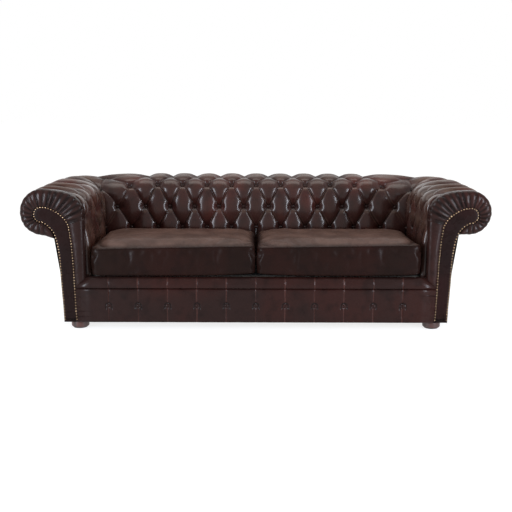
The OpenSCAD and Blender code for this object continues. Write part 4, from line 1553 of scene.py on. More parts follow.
@dataclass
class FrontBorder:
    """Pleated leather over the front rail, its buttons, and the lip of the seat deck."""

    fronts: ArmFronts
    pleats: int = 11
    pleat_pitch: float = 151.0
    button_z: float = 128.0
    panel_pad: float = 17.0
    border_h: float = 219.0
    step: float = 3.0
    pleat_depth: float = 3.4
    bulge: float = 2.2
    ends_in: float = 6.0
    panel_seed: int = 21
    lip_seed: int = 22

    def stop(self, z: Array) -> Array:
        """How far the front pieces reach sideways at a height: to the facings."""
        inner = self.fronts.facing.points[: self.fronts.flank_steps + 1]
        return SIZES.half_w + np.interp(z, inner[:, 1], inner[:, 0]) - 2 * SIZES.gap

    def pleat_x(self) -> Array:
        """Places of the pleats."""
        return (np.arange(self.pleats) - (self.pleats - 1) / 2) * self.pleat_pitch

    def across(self) -> Array:
        """Places of the sections.

        Returns:
            The places from end to end, closer together at the pleats.
        """
        stop = SIZES.half_w - self.ends_in
        coarse = np.arange(-stop, stop, self.step)
        near = np.concatenate([x + np.linspace(-22, 22, 45) for x in self.pleat_x()])
        return np.unique(np.round(np.concatenate([coarse, near, [stop]]), 2))

    def fold_at(self, x: Array, z: Array, seed: int) -> tuple[Array, Array]:
        """Depth of the pleats and the fullness between them.

        Args:
            x: places across the front.
            z: heights.
            seed: seed of the pleats' own lean and depth.

        Returns:
            The depth from 0 to 1 in the pleats, and the fullness from 0 to 1.
        """
        draw = np.random.default_rng(seed).uniform(-1, 1, (self.pleats, 4))
        deepest = np.zeros(np.broadcast(x, z).shape)
        for px, (lean, sway, strong, wide) in zip(self.pleat_x(), draw):
            line = px + 1.2 * lean * np.sin(z / 30.0 + 3 * sway)
            off = x - line
            # The leather laps one way: a short steep side and a long easy one
            run = np.where(off > 0, 2.2 + 0.4 * wide, 6.0 + 2 * wide)
            deepest = np.maximum(deepest, (1 + 0.2 * strong) * np.exp(-np.abs(off) / run))
        phase = x / self.pleat_pitch + (self.pleats - 1) / 2
        off = np.abs(phase - np.round(phase)) * 2
        last = self.pleat_x()[-1]
        inside = np.clip((last + self.pleat_pitch / 2 - np.abs(x)) / 40, 0, 1)
        beyond = 1 - np.clip((np.abs(x) - last) / 90, 0, 1)
        full = np.where(np.abs(x) > last, beyond, np.sin(np.pi * off / 2) ** 0.8)
        return deepest, full * inside

    def tuck(self, x: Array, z: Array) -> tuple[Array, Array]:
        """The arched tuck over each front button.

        Args:
            x: places across the front.
            z: heights.

        Returns:
            Its depth in millimetres, and how much painted shade it gets.
        """
        total = np.zeros(np.broadcast(x, z).shape)
        dark = np.zeros(total.shape)
        for px in self.pleat_x():
            dx, dz = x - px, z - self.button_z
            far = np.hypot(dx, dz)
            arch = np.exp(-(((far - 15.5) / 4.4) ** 2)) * np.clip(0.5 + dz / 8.0, 0, 1)
            legs = np.exp(-(((np.abs(dx) - 15.5) / 4.0) ** 2)) * np.clip(0.5 - dz / 8.0, 0, 1)
            legs = legs * np.clip(1 + (dz + 10) / 14, 0, 1)
            hollow = np.exp(-((far / 10.0) ** 2))
            total += 3.0 * hollow + 3.4 * np.maximum(arch, legs)
            dark = np.maximum(dark, np.maximum(1.3 * np.maximum(arch, legs), 0.6 * hollow))
        return total, dark

    def panel(self) -> Solid:
        """The lower panel between the feet and the lip.

        Returns:
            The closed panel.
        """
        face = SIZES.board_y - self.panel_pad
        back = SIZES.board_y - SIZES.gap
        low, high = SIZES.foot_h, self.border_h
        turn = np.linspace(0, np.pi / 2, 8)
        bottom = [(face + 9 - 9 * math.sin(t), low + 9 - 9 * math.cos(t)) for t in turn]
        top = [(face + 12 - 12 * math.cos(t), high - 12 + 12 * math.sin(t)) for t in turn]
        middle = [(face, z) for z in np.arange(low + 13, high - 14, 3.0)]
        section = np.array([(back, low)] + bottom + middle + top + [(back, high)])
        return self.sheet(section, False, self.panel_seed)

    def lip(self) -> Solid:
        """The rounded lip of the deck, with its ends cut under the arm borders.

        Returns:
            The closed lip.
        """
        low = SIZES.cloth_z + 1.5 + SIZES.gap
        start = self.border_h + 0.5
        front, rear = SIZES.front_y, SIZES.arm_y - 24.5
        rise = SIZES.deck_h - start
        # (place behind the seat's front edge, share of the rise)
        curve = [
            (13, 0), (5, 0.02), (1.2, 0.08), (-0.4, 0.2), (-0.8, 0.38), (1.5, 0.56), (7, 0.74),
            (15, 0.88), (26, 0.955),
        ]
        way = [(front + y, start + share * rise) for y, share in curve]
        path = Outline(np.array(way + [(rear, SIZES.deck_h - 2)]))
        smooth = path.at(np.linspace(0, path.length, 60))
        for _ in range(6):
            smooth[1:-1] = (smooth[:-2] + 2 * smooth[1:-1] + smooth[2:]) / 4
        back = SIZES.board_y - SIZES.gap
        section = np.concatenate([[(rear, low), (back, low), (back, start)], smooth])
        return self.sheet(section, True, self.lip_seed)

    def reach(self, y: Array, z: Array, lip: bool) -> Array:
        """How far the points of a section reach sideways.

        Args:
            y: their places from front to back.
            z: their heights.
            lip: the lip is also cut under the arm borders.

        Returns:
            The reach of each.
        """
        reach = self.stop(z)
        if not lip:
            return reach
        foot = self.fronts.border_low - self.fronts.lip_slope
        inner = [self.stop(np.array(foot)) - SIZES.half_w, self.fronts.border_in - 1]
        cut = SIZES.half_w + np.interp(z, [foot, self.fronts.border_low], inner)
        reach = np.minimum(reach, cut)
        return np.where(y > SIZES.board_y - 1, np.minimum(reach, SIZES.half_w + 68), reach)

    def seen(self, y: Array, z: Array, lip: bool) -> tuple[Array, Array]:
        """Which points are on the leather that shows.

        Args:
            y: their places from front to back.
            z: their heights.
            lip: whether they are the lip's.

        Returns:
            How much each shows, and how far it is from the seams, 0 to 1.
        """
        front = np.clip((SIZES.board_y - 2 - y) / 10, 0, 1)
        if not lip:
            low, high = SIZES.foot_h, self.border_h
            return front, np.clip((z - low) / 10, 0, 1) * np.clip((high - z) / 14, 0.25, 1)
        low, high = self.border_h + 0.5, SIZES.deck_h
        top = np.clip((z - high + 30) / 12, 0, 1) * np.clip((SIZES.arm_y - 26 - y) / 30, 0, 1)
        front = np.where((y > SIZES.board_y - 2) & (z < low + 1), 0, np.maximum(front, top))
        return front, np.clip((z - low + 4) / 10, 0, 1)

    def sheet(self, section: Array, lip: bool, seed: int) -> Solid:
        """Runs a (y, z) section across the front with its pleats.

        Args:
            section: the section's (y, z) points, clockwise from the back.
            lip: whether it is the lip's; else it is the lower panel's.
            seed: seed of the pleats' unevenness.

        Returns:
            The closed piece.
        """
        y, z = section[:, 0], section[:, 1]
        reach = self.reach(y, z, lip)
        x = self.across()
        xx = np.concatenate([[-reach], np.repeat(x[:, None], len(z), 1), [reach]])
        yy, zz = np.broadcast_to(y, xx.shape), np.broadcast_to(z, xx.shape)
        front, edge = self.seen(yy, zz, lip)
        pleat, full = self.fold_at(xx, zz, seed)
        wander = Wander(seed)
        flat = np.stack([xx, zz], -1)
        dip = self.pleat_depth * pleat * front * (0.55 + 0.45 * edge) * (0.8 if lip else 1.0)
        dip = dip - self.bulge * full * front * edge
        dark, upward = np.zeros(xx.shape), np.zeros(xx.shape)
        if not lip:
            arch, dark = self.tuck(xx, zz)
            dip = dip + arch * front
        dip = dip + (0.9 * wander.at(flat, 48.0) + 0.35 * wander.at(flat, 15.0)) * front
        if lip:
            # On the top of the lip the folds press down instead of in
            upward = np.clip((zz - SIZES.deck_h + 22) / 20, 0, 1)
        else:
            under = np.exp(-np.maximum(self.border_h - zz, 0) / 11.0)
            rumple = 1.6 * wander.at(flat * [0.6, 1.0], 19.0) * under
            dip = dip + np.maximum(rumple, -0.8) * front
        points = np.stack([xx, yy + dip * (1 - upward), zz - np.maximum(dip, -1.0) * upward], -1)
        # Painted shade in the pleats and in the arched tucks over the buttons
        fold_shade = np.maximum(np.clip(pleat - 0.75, 0, 1) * 2, dark) * front
        solid = lofted(points, fold_shade)
        # The lapped edges of the pleats are painted paler, wear and painted highlight together
        seam = np.clip(1.6 * pleat - 0.7, 0, 0.5) * front * (1 - dark)
        solid.marks["rub_and_highlight"] = np.append(seam.reshape(-1), [0, 0])
        return solid

    def buttons(self) -> Solid:
        """The covered buttons of the panel.

        Returns:
            The buttons as one solid.
        """
        dome = TuftedPads().button()
        face = SIZES.board_y - self.panel_pad + 6.4
        return joined([
            stood(dome, np.array([x, face, self.button_z]), np.array([0.0, -1.0, 0.05]), x)
            for x in self.pleat_x()
        ])

    def build(self) -> None:
        """Makes the panel, its buttons and the lip."""
        panel = self.panel().piece("front_panel_leather", Finish.BORDER, ["front_border"])
        lip = self.lip().piece("deck_lip_leather", Finish.BORDER, ["seat_lip"])
        self.buttons().piece("front_buttons_covered", Finish.BUTTON, ["border_buttons"])


# Cushions


def read_points(mesh: bpy.types.Mesh, what: str = "co") -> Array:
    """Reads a mesh's points, or what else they have three of.

    Args:
        mesh: the mesh.
        what: "co" for the points, or "normal".

    Returns:
        A row of three for each.
    """
    values = np.empty(len(mesh.vertices) * 3)
    mesh.vertices.foreach_get(what, values)
    return values.reshape(-1, 3)


@dataclass
class SeatCushion:
    """Loose boxed cushion: simulated leather cover, then welted seams."""

    side: Side
    thickness: float = 158.0
    drawn_in: float = 6.0
    corner: float = 32.0
    gap: float = 3.0
    voxel: float = 8.0
    pressure: float = 3.2
    cap: float = 15.0
    welt: float = 2.6
    settled: float = 4.0
    tilt: float = 12.0
    sag: tuple[float, float] = (5.0, 12.0)
    curl: tuple[float, float] = (18.0, 18.0)
    seam_hold: float = 0.9
    frames: int = 20
    seed: int = 80

    def __post_init__(self) -> None:
        """Works out the cushion's place."""
        self.half_x = (SIZES.half_w - 2 * self.gap) / 2
        y0, y1 = SIZES.front_y + 5, SIZES.back_y - self.gap
        self.half_y = (y1 - y0) / 2
        self.centre = np.array([SIZES.half_w / 2, (y0 + y1) / 2, 0.0])
        self.seam_low = SIZES.deck_h + 10
        self.seam_top = self.seam_low + self.thickness - 10

    @property
    def middle(self) -> Array:
        """The cushion's middle, on its own side."""
        return self.centre * [self.side.value, 1, 1]

    def plan(self, per_side: int, per_corner: int) -> Array:
        """The cushion's outline: round corners, and sides drawn in between them.

        Args:
            per_side: points along each short side.
            per_corner: steps round each corner.

        Returns:
            The outline's (x, y) points, from the middle.
        """
        hx, hy, r = self.half_x, self.half_y, self.corner
        corners = [(1, -1), (1, 1), (-1, 1), (-1, -1)]
        turns = []
        for k, (sx, sy) in enumerate(corners):
            angle = np.radians(np.linspace(90 * k - 90, 90 * k, per_corner + 1))
            middle = np.array([sx * (hx - r), sy * (hy - r)])
            turns.append(middle + r * np.stack([np.cos(angle), np.sin(angle)], 1))
        edge = []
        for k in range(4):
            start, stop = turns[k][-1], turns[(k + 1) % 4][0]
            count = int(per_side * (1.0 if k % 2 == 0 else hx / hy))
            share = np.linspace(0, 1, count + 1)[1:-1, None]
            edge += [turns[k], start + (stop - start) * share]
        p = np.concatenate(edge)
        bx, by = p[:, 0:1] / hx, p[:, 1:2] / hy
        inward = np.concatenate([bx * (1 - by**2), by * (1 - bx**2)], 1)
        return p - self.drawn_in * inward

    def stuffed(self) -> Solid:
        """The cushion before its cover is blown up: slightly slack and slightly small.

        Returns:
            The closed cushion.
        """
        plan = self.plan(44, 8)
        # (share of the outline, height, distance out) of each ring of points
        rings = [
            (0.25, 0, 0), (0.6, 0, 0), (0.9, 0, 0), (0.955, 1, 0), (0.985, 4, -1), (1, 8, -1),
            (1, 10, -1.5), (1, 13, -1), (1, 30, 0), (1, 60, 1), (1, 84, 1.5), (1, 108, 1), (1, 138, 0),
            (1, 155, -1), (1, 158, -1.5), (0.985, 161, -1), (0.95, 166, 0), (0.88, 171, 0),
            (0.78, 175, 0), (0.6, 178, 0), (0.4, 179, 0), (0.2, 180, 0),
        ]
        count = len(plan)
        half = np.array([self.half_x, self.half_y])
        layers, faces = [], []
        for share, up, out in rings:
            xy = plan * share * (half + out - 2.0) / half
            z = SIZES.deck_h + up * (self.thickness / 158.0)
            layers.append(np.column_stack([xy, np.full(count, z)]))
        ends = np.array([[0, 0, SIZES.deck_h], [0, 0, SIZES.deck_h + 180.5]])
        points = np.concatenate(layers + [ends]) + self.centre
        base, last = len(rings) * count, (len(rings) - 1) * count
        for low in range(0, last, count):
            faces += ring_faces(low, low + count, count)
        faces += [[base, (k + 1) % count, k] for k in range(count)]
        faces += [[base + 1, last + k, last + (k + 1) % count] for k in range(count)]
        return Solid(points, faces, {}).mirrored(self.side)

    def blow_up(self, piece: Object) -> None:
        """Runs the cloth on the cover with its seams held, and keeps the result.

        Args:
            piece: the cushion, whose mesh is replaced.
        """
        start = read_points(piece.data)
        held = piece.vertex_groups.new(name="seams")
        local = np.abs(start / MM - self.middle)
        rim = (local[:, 0] > self.half_x - 22) | (local[:, 1] > self.half_y - 22)
        for seam in (self.seam_low, self.seam_top):
            on = np.abs(start[:, 2] / MM - seam) < 5.0
            held.add(np.nonzero(on & rim)[0].tolist(), self.seam_hold, "REPLACE")
        flat = start[:, 2] / MM < SIZES.deck_h + 2.0
        held.add(np.nonzero(flat)[0].tolist(), 1.0, "REPLACE")
        cloth = piece.modifiers.new("cover", "CLOTH")
        settings = {
            "quality": 5, "mass": 0.5, "tension_stiffness": 25, "compression_stiffness": 25,
            "shear_stiffness": 12, "bending_stiffness": 3.0, "use_pressure": True,
            "uniform_pressure_force": self.pressure, "shrink_min": -0.035,
            "vertex_group_mass": "seams",
        }
        for name, value in settings.items():
            setattr(cloth.settings, name, value)
        cloth.settings.effector_weights.gravity = 0
        cloth.collision_settings.use_collision = False
        cloth.collision_settings.use_self_collision = False
        scene = bpy.context.scene
        for step in range(1, self.frames + 1):
            scene.frame_set(step)
        self.take(piece)
        scene.frame_set(1)
        move = read_points(piece.data) - start
        far = np.linalg.norm(move, axis=1)
        move *= np.minimum(1, self.cap * MM / np.maximum(far, 1e-9))[:, None]
        piece.data.vertices.foreach_set("co", (start + move).reshape(-1))
        piece.data.update()
        ease = piece.modifiers.new("ease", "SMOOTH")
        ease.factor, ease.iterations = 0.5, 5
        self.take(piece)

    def take(self, piece: Object) -> None:
        """Makes the piece's modified mesh its own, with no modifier left.

        Args:
            piece: the cushion, whose mesh is replaced.
        """
        seen = piece.evaluated_get(bpy.context.evaluated_depsgraph_get())
        fresh = bpy.data.meshes.new_from_object(seen)
        piece.modifiers.clear()
        piece.data = fresh

    def rested(self, local: Array, z: Array) -> Array:
        """Heights once the cushion has been sat on.

        Its front edge sags, by `sag` at its inner and outer end, its back edge goes down
        by `tilt`, and its lower front edge curls up at the ends by `curl`.

        Args:
            local: places from the cushion's middle.
            z: heights as it was made.

        Returns:
            The heights, never below the deck.
        """
        fore = np.clip(-local[..., 1] / self.half_y, 0, 1) ** 2
        outer = np.clip(0.5 + local[..., 0] * self.side.value / (2 * self.half_x), 0, 1)
        rear = np.clip(0.5 + local[..., 1] / (2 * self.half_y), 0, 1)
        up = np.clip((z - SIZES.deck_h) / self.thickness, 0, 1)
        sag = self.sag[0] + (self.sag[1] - self.sag[0]) * outer
        curl = self.curl[0] * (1 - outer) ** 5 + self.curl[1] * outer**5
        down = up * (sag * fore + self.settled + self.tilt * rear)
        return np.maximum(z - down + (1 - up) ** 2 * curl * fore**2, SIZES.deck_h)

    def settle(self, piece: Object) -> None:
        """Creases the cover, keeps it on the deck and clear of its neighbours, and paints its top paler
        as painted top light.

        Args:
            piece: the cushion, whose points are moved.
        """
        mesh = piece.data
        p = read_points(mesh) / MM
        wander = Wander(self.seed + self.side.value)
        above = np.clip((p[:, 2] - SIZES.deck_h - 4) / 12, 0, 1)
        creases = 0.8 * wander.at(p * [1.0, 1.0, 0.6], 40.0) + 0.35 * wander.at(p, 14.0)
        p = p + read_points(mesh, "normal") * (creases * above)[:, None]
        local = p - self.middle
        limit = np.array([self.half_x + 1.0, self.half_y + 1.0])
        for axis in (0, 1):
            over = np.maximum(np.abs(local[:, axis]) - limit[axis] + 6, 0)
            bent = limit[axis] - 6 + 6 * np.tanh(over / 6)
            out = np.abs(local[:, axis]) > limit[axis] - 6
            local[:, axis] = np.where(out, np.sign(local[:, axis]) * bent, local[:, axis])
        p = self.middle + local
        # Painted top light: the top above the upper seam is painted paler through its mark
        high = np.clip((p[:, 2] - self.seam_top - 2) / 14, 0, 1)
        p[:, 2] = self.rested(local, p[:, 2])
        mesh.vertices.foreach_set("co", (p * MM).reshape(-1))
        worn = mesh.attributes.new("rub_and_highlight", "FLOAT", "POINT")
        worn.data.foreach_set("value", (0.62 * high).astype(np.float32))
        mesh.update()

    def seam(self, piece: Object, height: float) -> Solid:
        """A welt that follows the cover at a seam.

        Args:
            piece: the settled cover.
            height: the seam's height.

        Returns:
            The welt's tube.
        """
        tree = BVHTree.FromObject(piece, bpy.context.evaluated_depsgraph_get())
        path = []
        for x, y in self.plan(90, 12) * [self.side.value, 1]:
            aslant = np.array([x / self.half_x, y / self.half_y])
            out = np.sign(aslant) * np.abs(aslant) ** 9
            out /= np.linalg.norm(out)
            level = float(self.rested(np.array([x, y]), np.array(height)))
            edge = self.middle[:2] + [x, y]
            start = Vector([*(edge + 60 * out), level]) * MM
            hit = tree.ray_cast(start, Vector([-out[0], -out[1], 0.0]), 0.12)[0]
            path.append(np.array(hit) / MM if hit else np.array([*edge, level]))
        path = np.array(path)
        for _ in range(3):
            path = (np.roll(path, 1, 0) + 2 * path + np.roll(path, -1, 0)) / 4
        along = np.roll(path, -1, 0) - np.roll(path, 1, 0)
        along /= np.linalg.norm(along, axis=1, keepdims=True)
        up = np.array([0.0, 0.0, 1.0])
        out = np.cross(along, up) * self.side.value
        angle = (np.arange(10) * math.tau / 10)[:, None, None]
        ring = self.welt * (np.cos(angle) * out + np.sin(angle) * up)
        points = (path + ring).transpose(1, 0, 2)
        n, m = points.shape[:2]
        faces = []
        for j in range(n):
            faces += ring_faces(j * m, (j + 1) % n * m, m)
        return Solid(points.reshape(-1, 3), faces, {})

    def build(self) -> None:
        """Makes the cushion and its welts."""
        word = self.side.word
        body = f"cushion_{word}"
        piece = self.stuffed().piece(f"seat_cushion_{word}", Finish.CUSHION, [body], body)
        remesh = piece.modifiers.new("even", "REMESH")
        remesh.mode = "VOXEL"
        remesh.voxel_size = self.voxel * MM
        remesh.use_smooth_shade = True
        self.take(piece)
        self.blow_up(piece)
        finer = piece.modifiers.new("finer", "SUBSURF")
        finer.levels = finer.render_levels = 1
        self.take(piece)
        self.settle(piece)
        piece.data.shade_smooth()
        welts = joined([self.seam(piece, h) for h in (self.seam_low, self.seam_top)])
        welts.piece(f"cushion_welts_{word}", Finish.CUSHION, [], body)
        log.info("cushion %s: %d points", word, len(piece.data.vertices))


# Outside panels and platform


@dataclass
class OutsidePanels:
    """Plain leather stretched over the outside of the back and the arms."""

    step: float = 16.0
    thickness: float = 3.6
    corner_power: float = 24.0
    tail_m: float = 0.15
    back_seed: int = 91
    arm_seed: int = 95

    def ring(self, run: Run, w: Array, seed: int) -> Solid:
        """Runs the panel's section along the back or an arm.

        Args:
            run: the back or an arm.
            w: distances of the sections from the corner.
            seed: seed of the leather's unevenness.

        Returns:
            The closed panel.
        """
        path = SIZES.outside()
        s = np.linspace(0, path.length, 44)
        outer = path.at(s)
        way = path.inward(s)
        if way[len(s) // 2, 0] > 0:
            way = -way
        wander = Wander(seed)
        ww, ss = np.meshgrid(w, s, indexing="ij")
        flat = np.stack([ww, ss], axis=-1)
        hold = np.clip(np.minimum(ss, path.length - ss) / 60, 0, 1)
        slack = (0.8 * wander.at(flat * [0.5, 1.0], 120.0) + 0.35 * wander.at(flat, 45.0) - 0.4) * hold
        # Small pulls where the leather is tacked to the bottom rail
        pulls = 0.5 * np.cos(math.tau * ww / 62.0 + wander.at(flat, 200.0)) * np.exp(-ss / 22.0)
        skin = outer[None] + way[None] * (np.maximum(-slack, 0) + np.maximum(pulls, 0))[..., None]
        lining = outer + way * self.thickness
        section = np.concatenate([skin, np.broadcast_to(lining[::-1], skin.shape)], axis=1)
        spread = np.broadcast_to(w[:, None], section.shape[:2])
        return lofted(TuftedPads(corner_power=self.corner_power).place(run, spread, section))

    def build(self) -> None:
        """Makes the three panels, mitred with the pads."""
        half, length = SIZES.half_w, SIZES.back_y - SIZES.board_y
        ends = np.linspace(0, 60, 12)
        middle = np.arange(75, 2 * half - 70, self.step)
        across = np.concatenate([ends, middle, 2 * half - ends[::-1]])
        along = np.concatenate([ends, np.arange(75, length - 8, self.step), [length]])
        back = self.ring(Run.BACK, across, self.back_seed)
        panel = back.piece("outside_back_leather", Finish.PANEL, ["outside_back"])
        for side in Side:
            word = side.word
            arm = self.ring(Run.ARM, along, self.arm_seed + side.value).mirrored(side)
            panel = arm.piece(f"outside_arm_leather_{word}", Finish.PANEL, [f"outside_arm_{word}"])


@dataclass
class Platform:
    """The seat platform under the loose cushions, and the cambric under the frame."""

    cell: float = 16.0
    foam_low: float = 186.0
    foam_top: float = 278.2
    foam_behind: float = 60.5
    cloth: float = 1.5
    seats: tuple[float, float] = (-430.0, 430.0)
    foot_x: float = 918.2
    foot_y: tuple[float, float] = (-384.0, 194.2)
    foot_hole: float = 48.0
    seed: int = 33

    def rule(self, low: float, high: float, edge: float) -> Array:
        """Places of a slab's points in one direction, closer together in its rounded rims."""
        rim, cells = edge * np.array([0, 0.15, 0.4, 0.7]), int((high - low) / self.cell)
        return np.concatenate([low + rim, np.linspace(low + edge, high - edge, cells), high - rim[::-1]])

    def closed(self, kept: Array, columns: int, count: int) -> Faces:
        """Faces of a slab over the cells that it keeps.

        Args:
            kept: whether it keeps each cell.
            columns: points in a row.
            count: points in each of its two layers.

        Returns:
            The upper and lower faces, then those along the open edges.
        """
        faces, sides = [], {}
        for i, j in zip(*np.nonzero(kept)):
            a, b = int(i * columns + j), int((i + 1) * columns + j)
            c, d = b + 1, a + 1
            faces += [[a, b, c, d], [count + d, count + c, count + b, count + a]]
            for e, f in ((a, b), (b, c), (c, d), (d, a)):
                if sides.pop((f, e), None) is None:
                    sides[(e, f)] = True
        return faces + [[e, count + e, count + f, f] for e, f in sides]

    def plate(self, box: Box, low: Surface, high: Surface, holes: Places, edge: float) -> Solid:
        """A slab over a rectangle, with rounded edges and round holes.

        Args:
            box: its least x and y, and its greatest x and y.
            low: gives the lower face's height at (x, y).
            high: gives the upper face's height.
            holes: centres of the holes.
            edge: how far the rim is rounded.

        Returns:
            The closed slab.
        """
        x0, y0, x1, y1 = box
        xx, yy = np.meshgrid(self.rule(x0, x1, edge), self.rule(y0, y1, edge), indexing="ij")
        nx, ny = xx.shape
        kept = np.ones((nx - 1, ny - 1), bool)
        mid_x, mid_y = (xx[1:, 1:] + xx[:-1, :-1]) / 2, (yy[1:, 1:] + yy[:-1, :-1]) / 2
        for cx, cy in holes:
            kept &= np.hypot(mid_x - cx, mid_y - cy) > self.foot_hole
        inner = np.zeros((nx, ny), int)
        for i, j in np.ndindex(2, 2):
            inner[i : nx - 1 + i, j : ny - 1 + j] += kept
        for cx, cy in holes:
            dx, dy = xx - cx, yy - cy
            far = np.maximum(np.hypot(dx, dy), 1e-6)
            on = (inner > 0) & (inner < 4) & (far < self.foot_hole + 2 * self.cell)
            xx = np.where(on, cx + dx / far * self.foot_hole, xx)
            yy = np.where(on, cy + dy / far * self.foot_hole, yy)
        near = np.minimum(np.minimum(xx - x0, x1 - xx), np.minimum(yy - y0, y1 - yy))
        round_off = edge - np.sqrt(np.maximum(edge**2 - np.maximum(edge - near, 0) ** 2, 0))
        top, bottom = high(xx, yy), low(xx, yy)
        round_off = np.minimum(round_off, 0.45 * (top - bottom))
        layers = (top - round_off, bottom + round_off * (edge > 5))
        points = np.concatenate([np.stack([xx, yy, z], -1).reshape(-1, 3) for z in layers])
        faces = self.closed(kept, ny, nx * ny)
        used = np.unique(np.concatenate([np.array(face) for face in faces]))
        order = np.full(len(points), -1)
        order[used] = np.arange(len(used))
        return Solid(points[used], [[int(order[k]) for k in face] for face in faces], {})

    def deck(self) -> None:
        """Makes the foam and the platform cloth over it."""
        half = SIZES.half_w - 2
        front, rear = SIZES.front_y + self.foam_behind - SIZES.gap, SIZES.back_y - SIZES.gap
        wander = Wander(self.seed)

        def worn(x: Array, y: Array) -> Array:
            """Upper face of the foam, pressed down a little where people sit."""
            hollow = sum(np.exp(-(((x - cx) / 240) ** 2 + ((y + 180) / 190) ** 2)) for cx in self.seats)
            return self.foam_top - 2.6 * hollow - 0.5 * np.abs(wander.at(np.stack([x, y], -1), 70.0))

        box = (-half, front, half, rear)
        foam = self.plate(box, lambda x, y: np.full(x.shape, self.foam_low), worn, [], 8.0)
        slab = foam.piece("deck_foam_slab", Finish.FOAM, ["deck_foam"])
        cover = self.plate(
            box, lambda x, y: worn(x, y) + 0.15, lambda x, y: worn(x, y) + self.cloth, [], 2.0
        )
        cloth = cover.piece("deck_cover_cloth", Finish.PLATFORM, ["deck_cover"])

    def build(self) -> None:
        """Makes the deck, and the cambric under the frame."""
        self.deck()
        x0, y0 = -self.foot_x - 66, SIZES.board_y
        x1, y1 = self.foot_x + 66, self.foot_y[1] + 60
        holes = [(x, y) for x in (-self.foot_x, self.foot_x) for y in self.foot_y]

        def slack(x: Array, y: Array) -> Array:
            """Lower face of the cambric, slightly puckered between its tacks."""
            near = np.minimum(x1 - np.abs(x), np.minimum(y - y0, y1 - y))
            return SIZES.foot_h + 0.25 * (1 + np.cos(math.tau * (x + y) / 44.0)) * np.exp(-near / 60.0)

        def upper(x: Array, y: Array) -> Array:
            """Its upper face."""
            return np.full(x.shape, SIZES.foot_h + self.cloth)

        cambric = self.plate((x0, y0, x1, y1), slack, upper, holes, 2.0)
        sheet = cambric.piece("dust_cover_cambric", Finish.PLATFORM, ["dust_cover"])


# Hidden frame and studio


@dataclass
class PackedNodes:
    """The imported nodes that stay: each gets its finish by what it is made of."""

    def finish_of(self, node: str) -> Finish:
        """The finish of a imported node.

        Args:
            node: the node's name.

        Returns:
            Its finish.
        """
        words = {
            "outside": Finish.PANEL, "foot_glides": Finish.GLIDE, "foot_bolts": Finish.STEEL,
            "foot_": Finish.FOOT, "webbing": Finish.WEBBING, "burlap": Finish.HESSIAN,
            "lining": Finish.HESSIAN, "dust": Finish.PLATFORM, "deck_cover": Finish.PLATFORM,
            "foam": Finish.FOAM,
        }
        for word, finish in words.items():
            if word in node:
                return finish
        return Finish.TIMBER

    def dress(self) -> None:
        """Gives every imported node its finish."""
        for name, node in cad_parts.items():
            if node.type != "MESH":
                continue
            finish = self.finish_of(name)
            if not node.material_slots:
                node.data.materials.append(finish.material)
            for slot in node.material_slots:
                slot.material = finish.material
        log.info("dressed %d packed nodes", len(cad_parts))


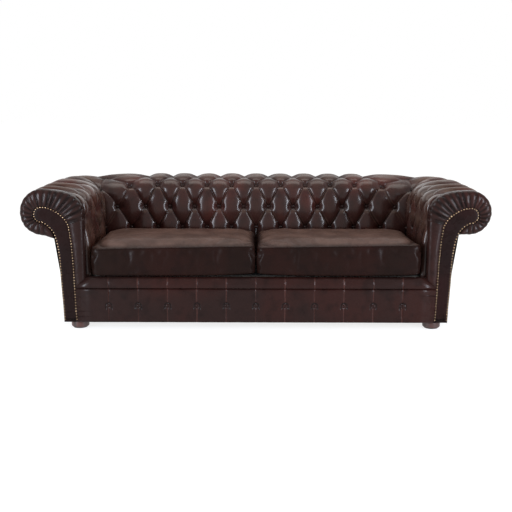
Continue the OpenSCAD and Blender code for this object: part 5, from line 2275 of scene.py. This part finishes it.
@dataclass
class Studio:
    """White floor, plain soft lamps and the photograph's camera."""

    camera_y: float = -4.660
    camera_z: float = 1.195
    pitch: float = 10.82
    roll: float = 0.15
    lens: float = 59.3
    world: float = 0.06
    floor_half: float = 30.0
    floor_low: float = -0.0005
    floor_glow: float = 0.8
    window_place: tuple[float, float, float] = (2.9, -2.7, 1.0)
    window_size: tuple[float, float] = (0.48, 1.9)
    window_w: float = 124
    overhead_place: tuple[float, float, float] = (0, 0.1, 3.1)
    overhead_size: tuple[float, float] = (4.2, 1.6)
    overhead_w: float = 85

    def lamp(
        self,
        name: str,
        place: Vector,
        aim: Vector,
        size: tuple[float, float],
        power: float,
        tint: tuple[float, float, float],
    ) -> None:
        """Adds a soft rectangular lamp.

        Args:
            name: the lamp's name.
            place: its middle.
            aim: the point that it faces.
            size: its width and height in metres.
            power: its power in watts.
            tint: its colour.
        """
        light = bpy.data.lights.new(name, "AREA")
        light.shape = "RECTANGLE"
        light.size, light.size_y = size
        light.energy = power
        light.color = tint
        made = bpy.data.objects.new(name, light)
        made.location = place
        made.rotation_euler = (aim - place).to_track_quat("-Z", "Y").to_euler()
        bpy.context.scene.collection.objects.link(made)

    def where_seen(self, tree: bpy.types.NodeTree) -> Socket:
        """Tells rays from the camera, a reflection or a glass from light itself.

        Args:
            tree: the nodes to add to.

        Returns:
            One for those rays, and 0 for light.
        """
        path = tree.nodes.new("ShaderNodeLightPath")
        seen = None
        for kind in ("Is Camera Ray", "Is Glossy Ray", "Is Transmission Ray"):
            either = tree.nodes.new("ShaderNodeMath")
            either.operation = "MAXIMUM"
            tree.links.new(path.outputs[kind], either.inputs[0])
            if seen is not None:
                tree.links.new(seen.outputs[0], either.inputs[1])
            seen = either
        return seen.outputs[0]

    def sky(self) -> None:
        """Makes the world: plain white where it is seen, and a faint light elsewhere."""
        world = bpy.data.worlds.new("studio")
        bpy.context.scene.world = world
        world.use_nodes = True
        tree = world.node_tree
        ground = tree.nodes["Background"]
        ground.inputs["Color"].default_value = (0.94, 0.97, 1.0, 1)
        ground.inputs["Strength"].default_value = self.world
        mix = tree.nodes.new("ShaderNodeMixShader")
        white = tree.nodes.new("ShaderNodeBackground")
        white.inputs["Strength"].default_value = 1.0
        white.inputs["Color"].default_value = (1, 1, 1, 1)
        tree.links.new(self.where_seen(tree), mix.inputs[0])
        tree.links.new(ground.outputs[0], mix.inputs[1])
        tree.links.new(white.outputs[0], mix.inputs[2])
        tree.links.new(mix.outputs[0], tree.nodes["World Output"].inputs["Surface"])

    def floor(self) -> None:
        """Makes the white floor."""
        h = self.floor_half
        mesh = bpy.data.meshes.new("floor")
        mesh.from_pydata([(-h, -h, 0), (h, -h, 0), (h, h, 0), (-h, h, 0)], [], [(0, 1, 2, 3)])
        floor = bpy.data.objects.new("floor", mesh)
        floor.location.z = self.floor_low
        bpy.context.scene.collection.objects.link(floor)
        paint = Shader("studio_floor")
        paint.set(Base_Color=(0.35, 0.35, 0.35, 1), Roughness=0.85, Specular_IOR_Level=0.1)
        paint.set(Emission_Color=(1, 1, 1, 1))
        glow = paint.math("MULTIPLY", self.where_seen(paint.tree), self.floor_glow)
        paint.feed(paint.body.inputs["Emission Strength"], glow)
        mesh.materials.append(paint.material)

    def lamps(self) -> None:
        """Hangs the overhead lamp and stands a tall window on each side."""
        place, seat = Vector(self.overhead_place), Vector((0, 0, 0.4))
        self.lamp("overhead", place, seat, self.overhead_size, self.overhead_w, (1.0, 0.97, 0.92))
        x, y, z = self.window_place
        aim, tint = Vector((0, 0, z)), (0.84, 0.9, 1.0)
        for side in Side:
            place = Vector((x * side.value, y, z))
            self.lamp(f"window_{side.word}", place, aim, self.window_size, self.window_w, tint)

    def camera(self) -> None:
        """Sets up the photograph's camera."""
        scene = bpy.context.scene
        camera = bpy.data.cameras.new("camera")
        camera.lens = self.lens
        camera.sensor_width = 36.0
        view = bpy.data.objects.new("camera", camera)
        view.location = (0, self.camera_y, self.camera_z)
        pitch = math.radians(self.pitch)
        look = Vector((0, math.cos(pitch), -math.sin(pitch)))
        spin = look.to_track_quat("-Z", "Y").to_matrix().to_4x4()
        turn = Matrix.Rotation(math.radians(self.roll), 4, "Z")
        view.rotation_euler = (spin @ turn).to_euler()
        scene.collection.objects.link(view)
        scene.camera = view
        scene.view_settings.view_transform = "Standard"

    def build(self) -> None:
        """Makes the world, the floor, the lamps and the camera."""
        self.sky()
        self.floor()
        self.lamps()
        self.camera()


def main() -> None:
    """Builds the sofa's dressing piece by piece."""
    logging.basicConfig(level=logging.INFO, format="%(name)s: %(message)s")
    Studio().build()
    PackedNodes().dress()
    TuftedPads().build()
    fronts = ArmFronts()
    fronts.build()
    FrontBorder(fronts=fronts).build()
    OutsidePanels().build()
    Platform().build()
    for side in Side:
        left = side is Side.LEFT
        sag, curl = ((-4.0, 14.0), (19.0, 3.0)) if left else ((4.0, -10.0), (17.0, 13.0))
        SeatCushion(side, sag=sag, curl=curl).build()


if __name__ == "__main__":
    main()
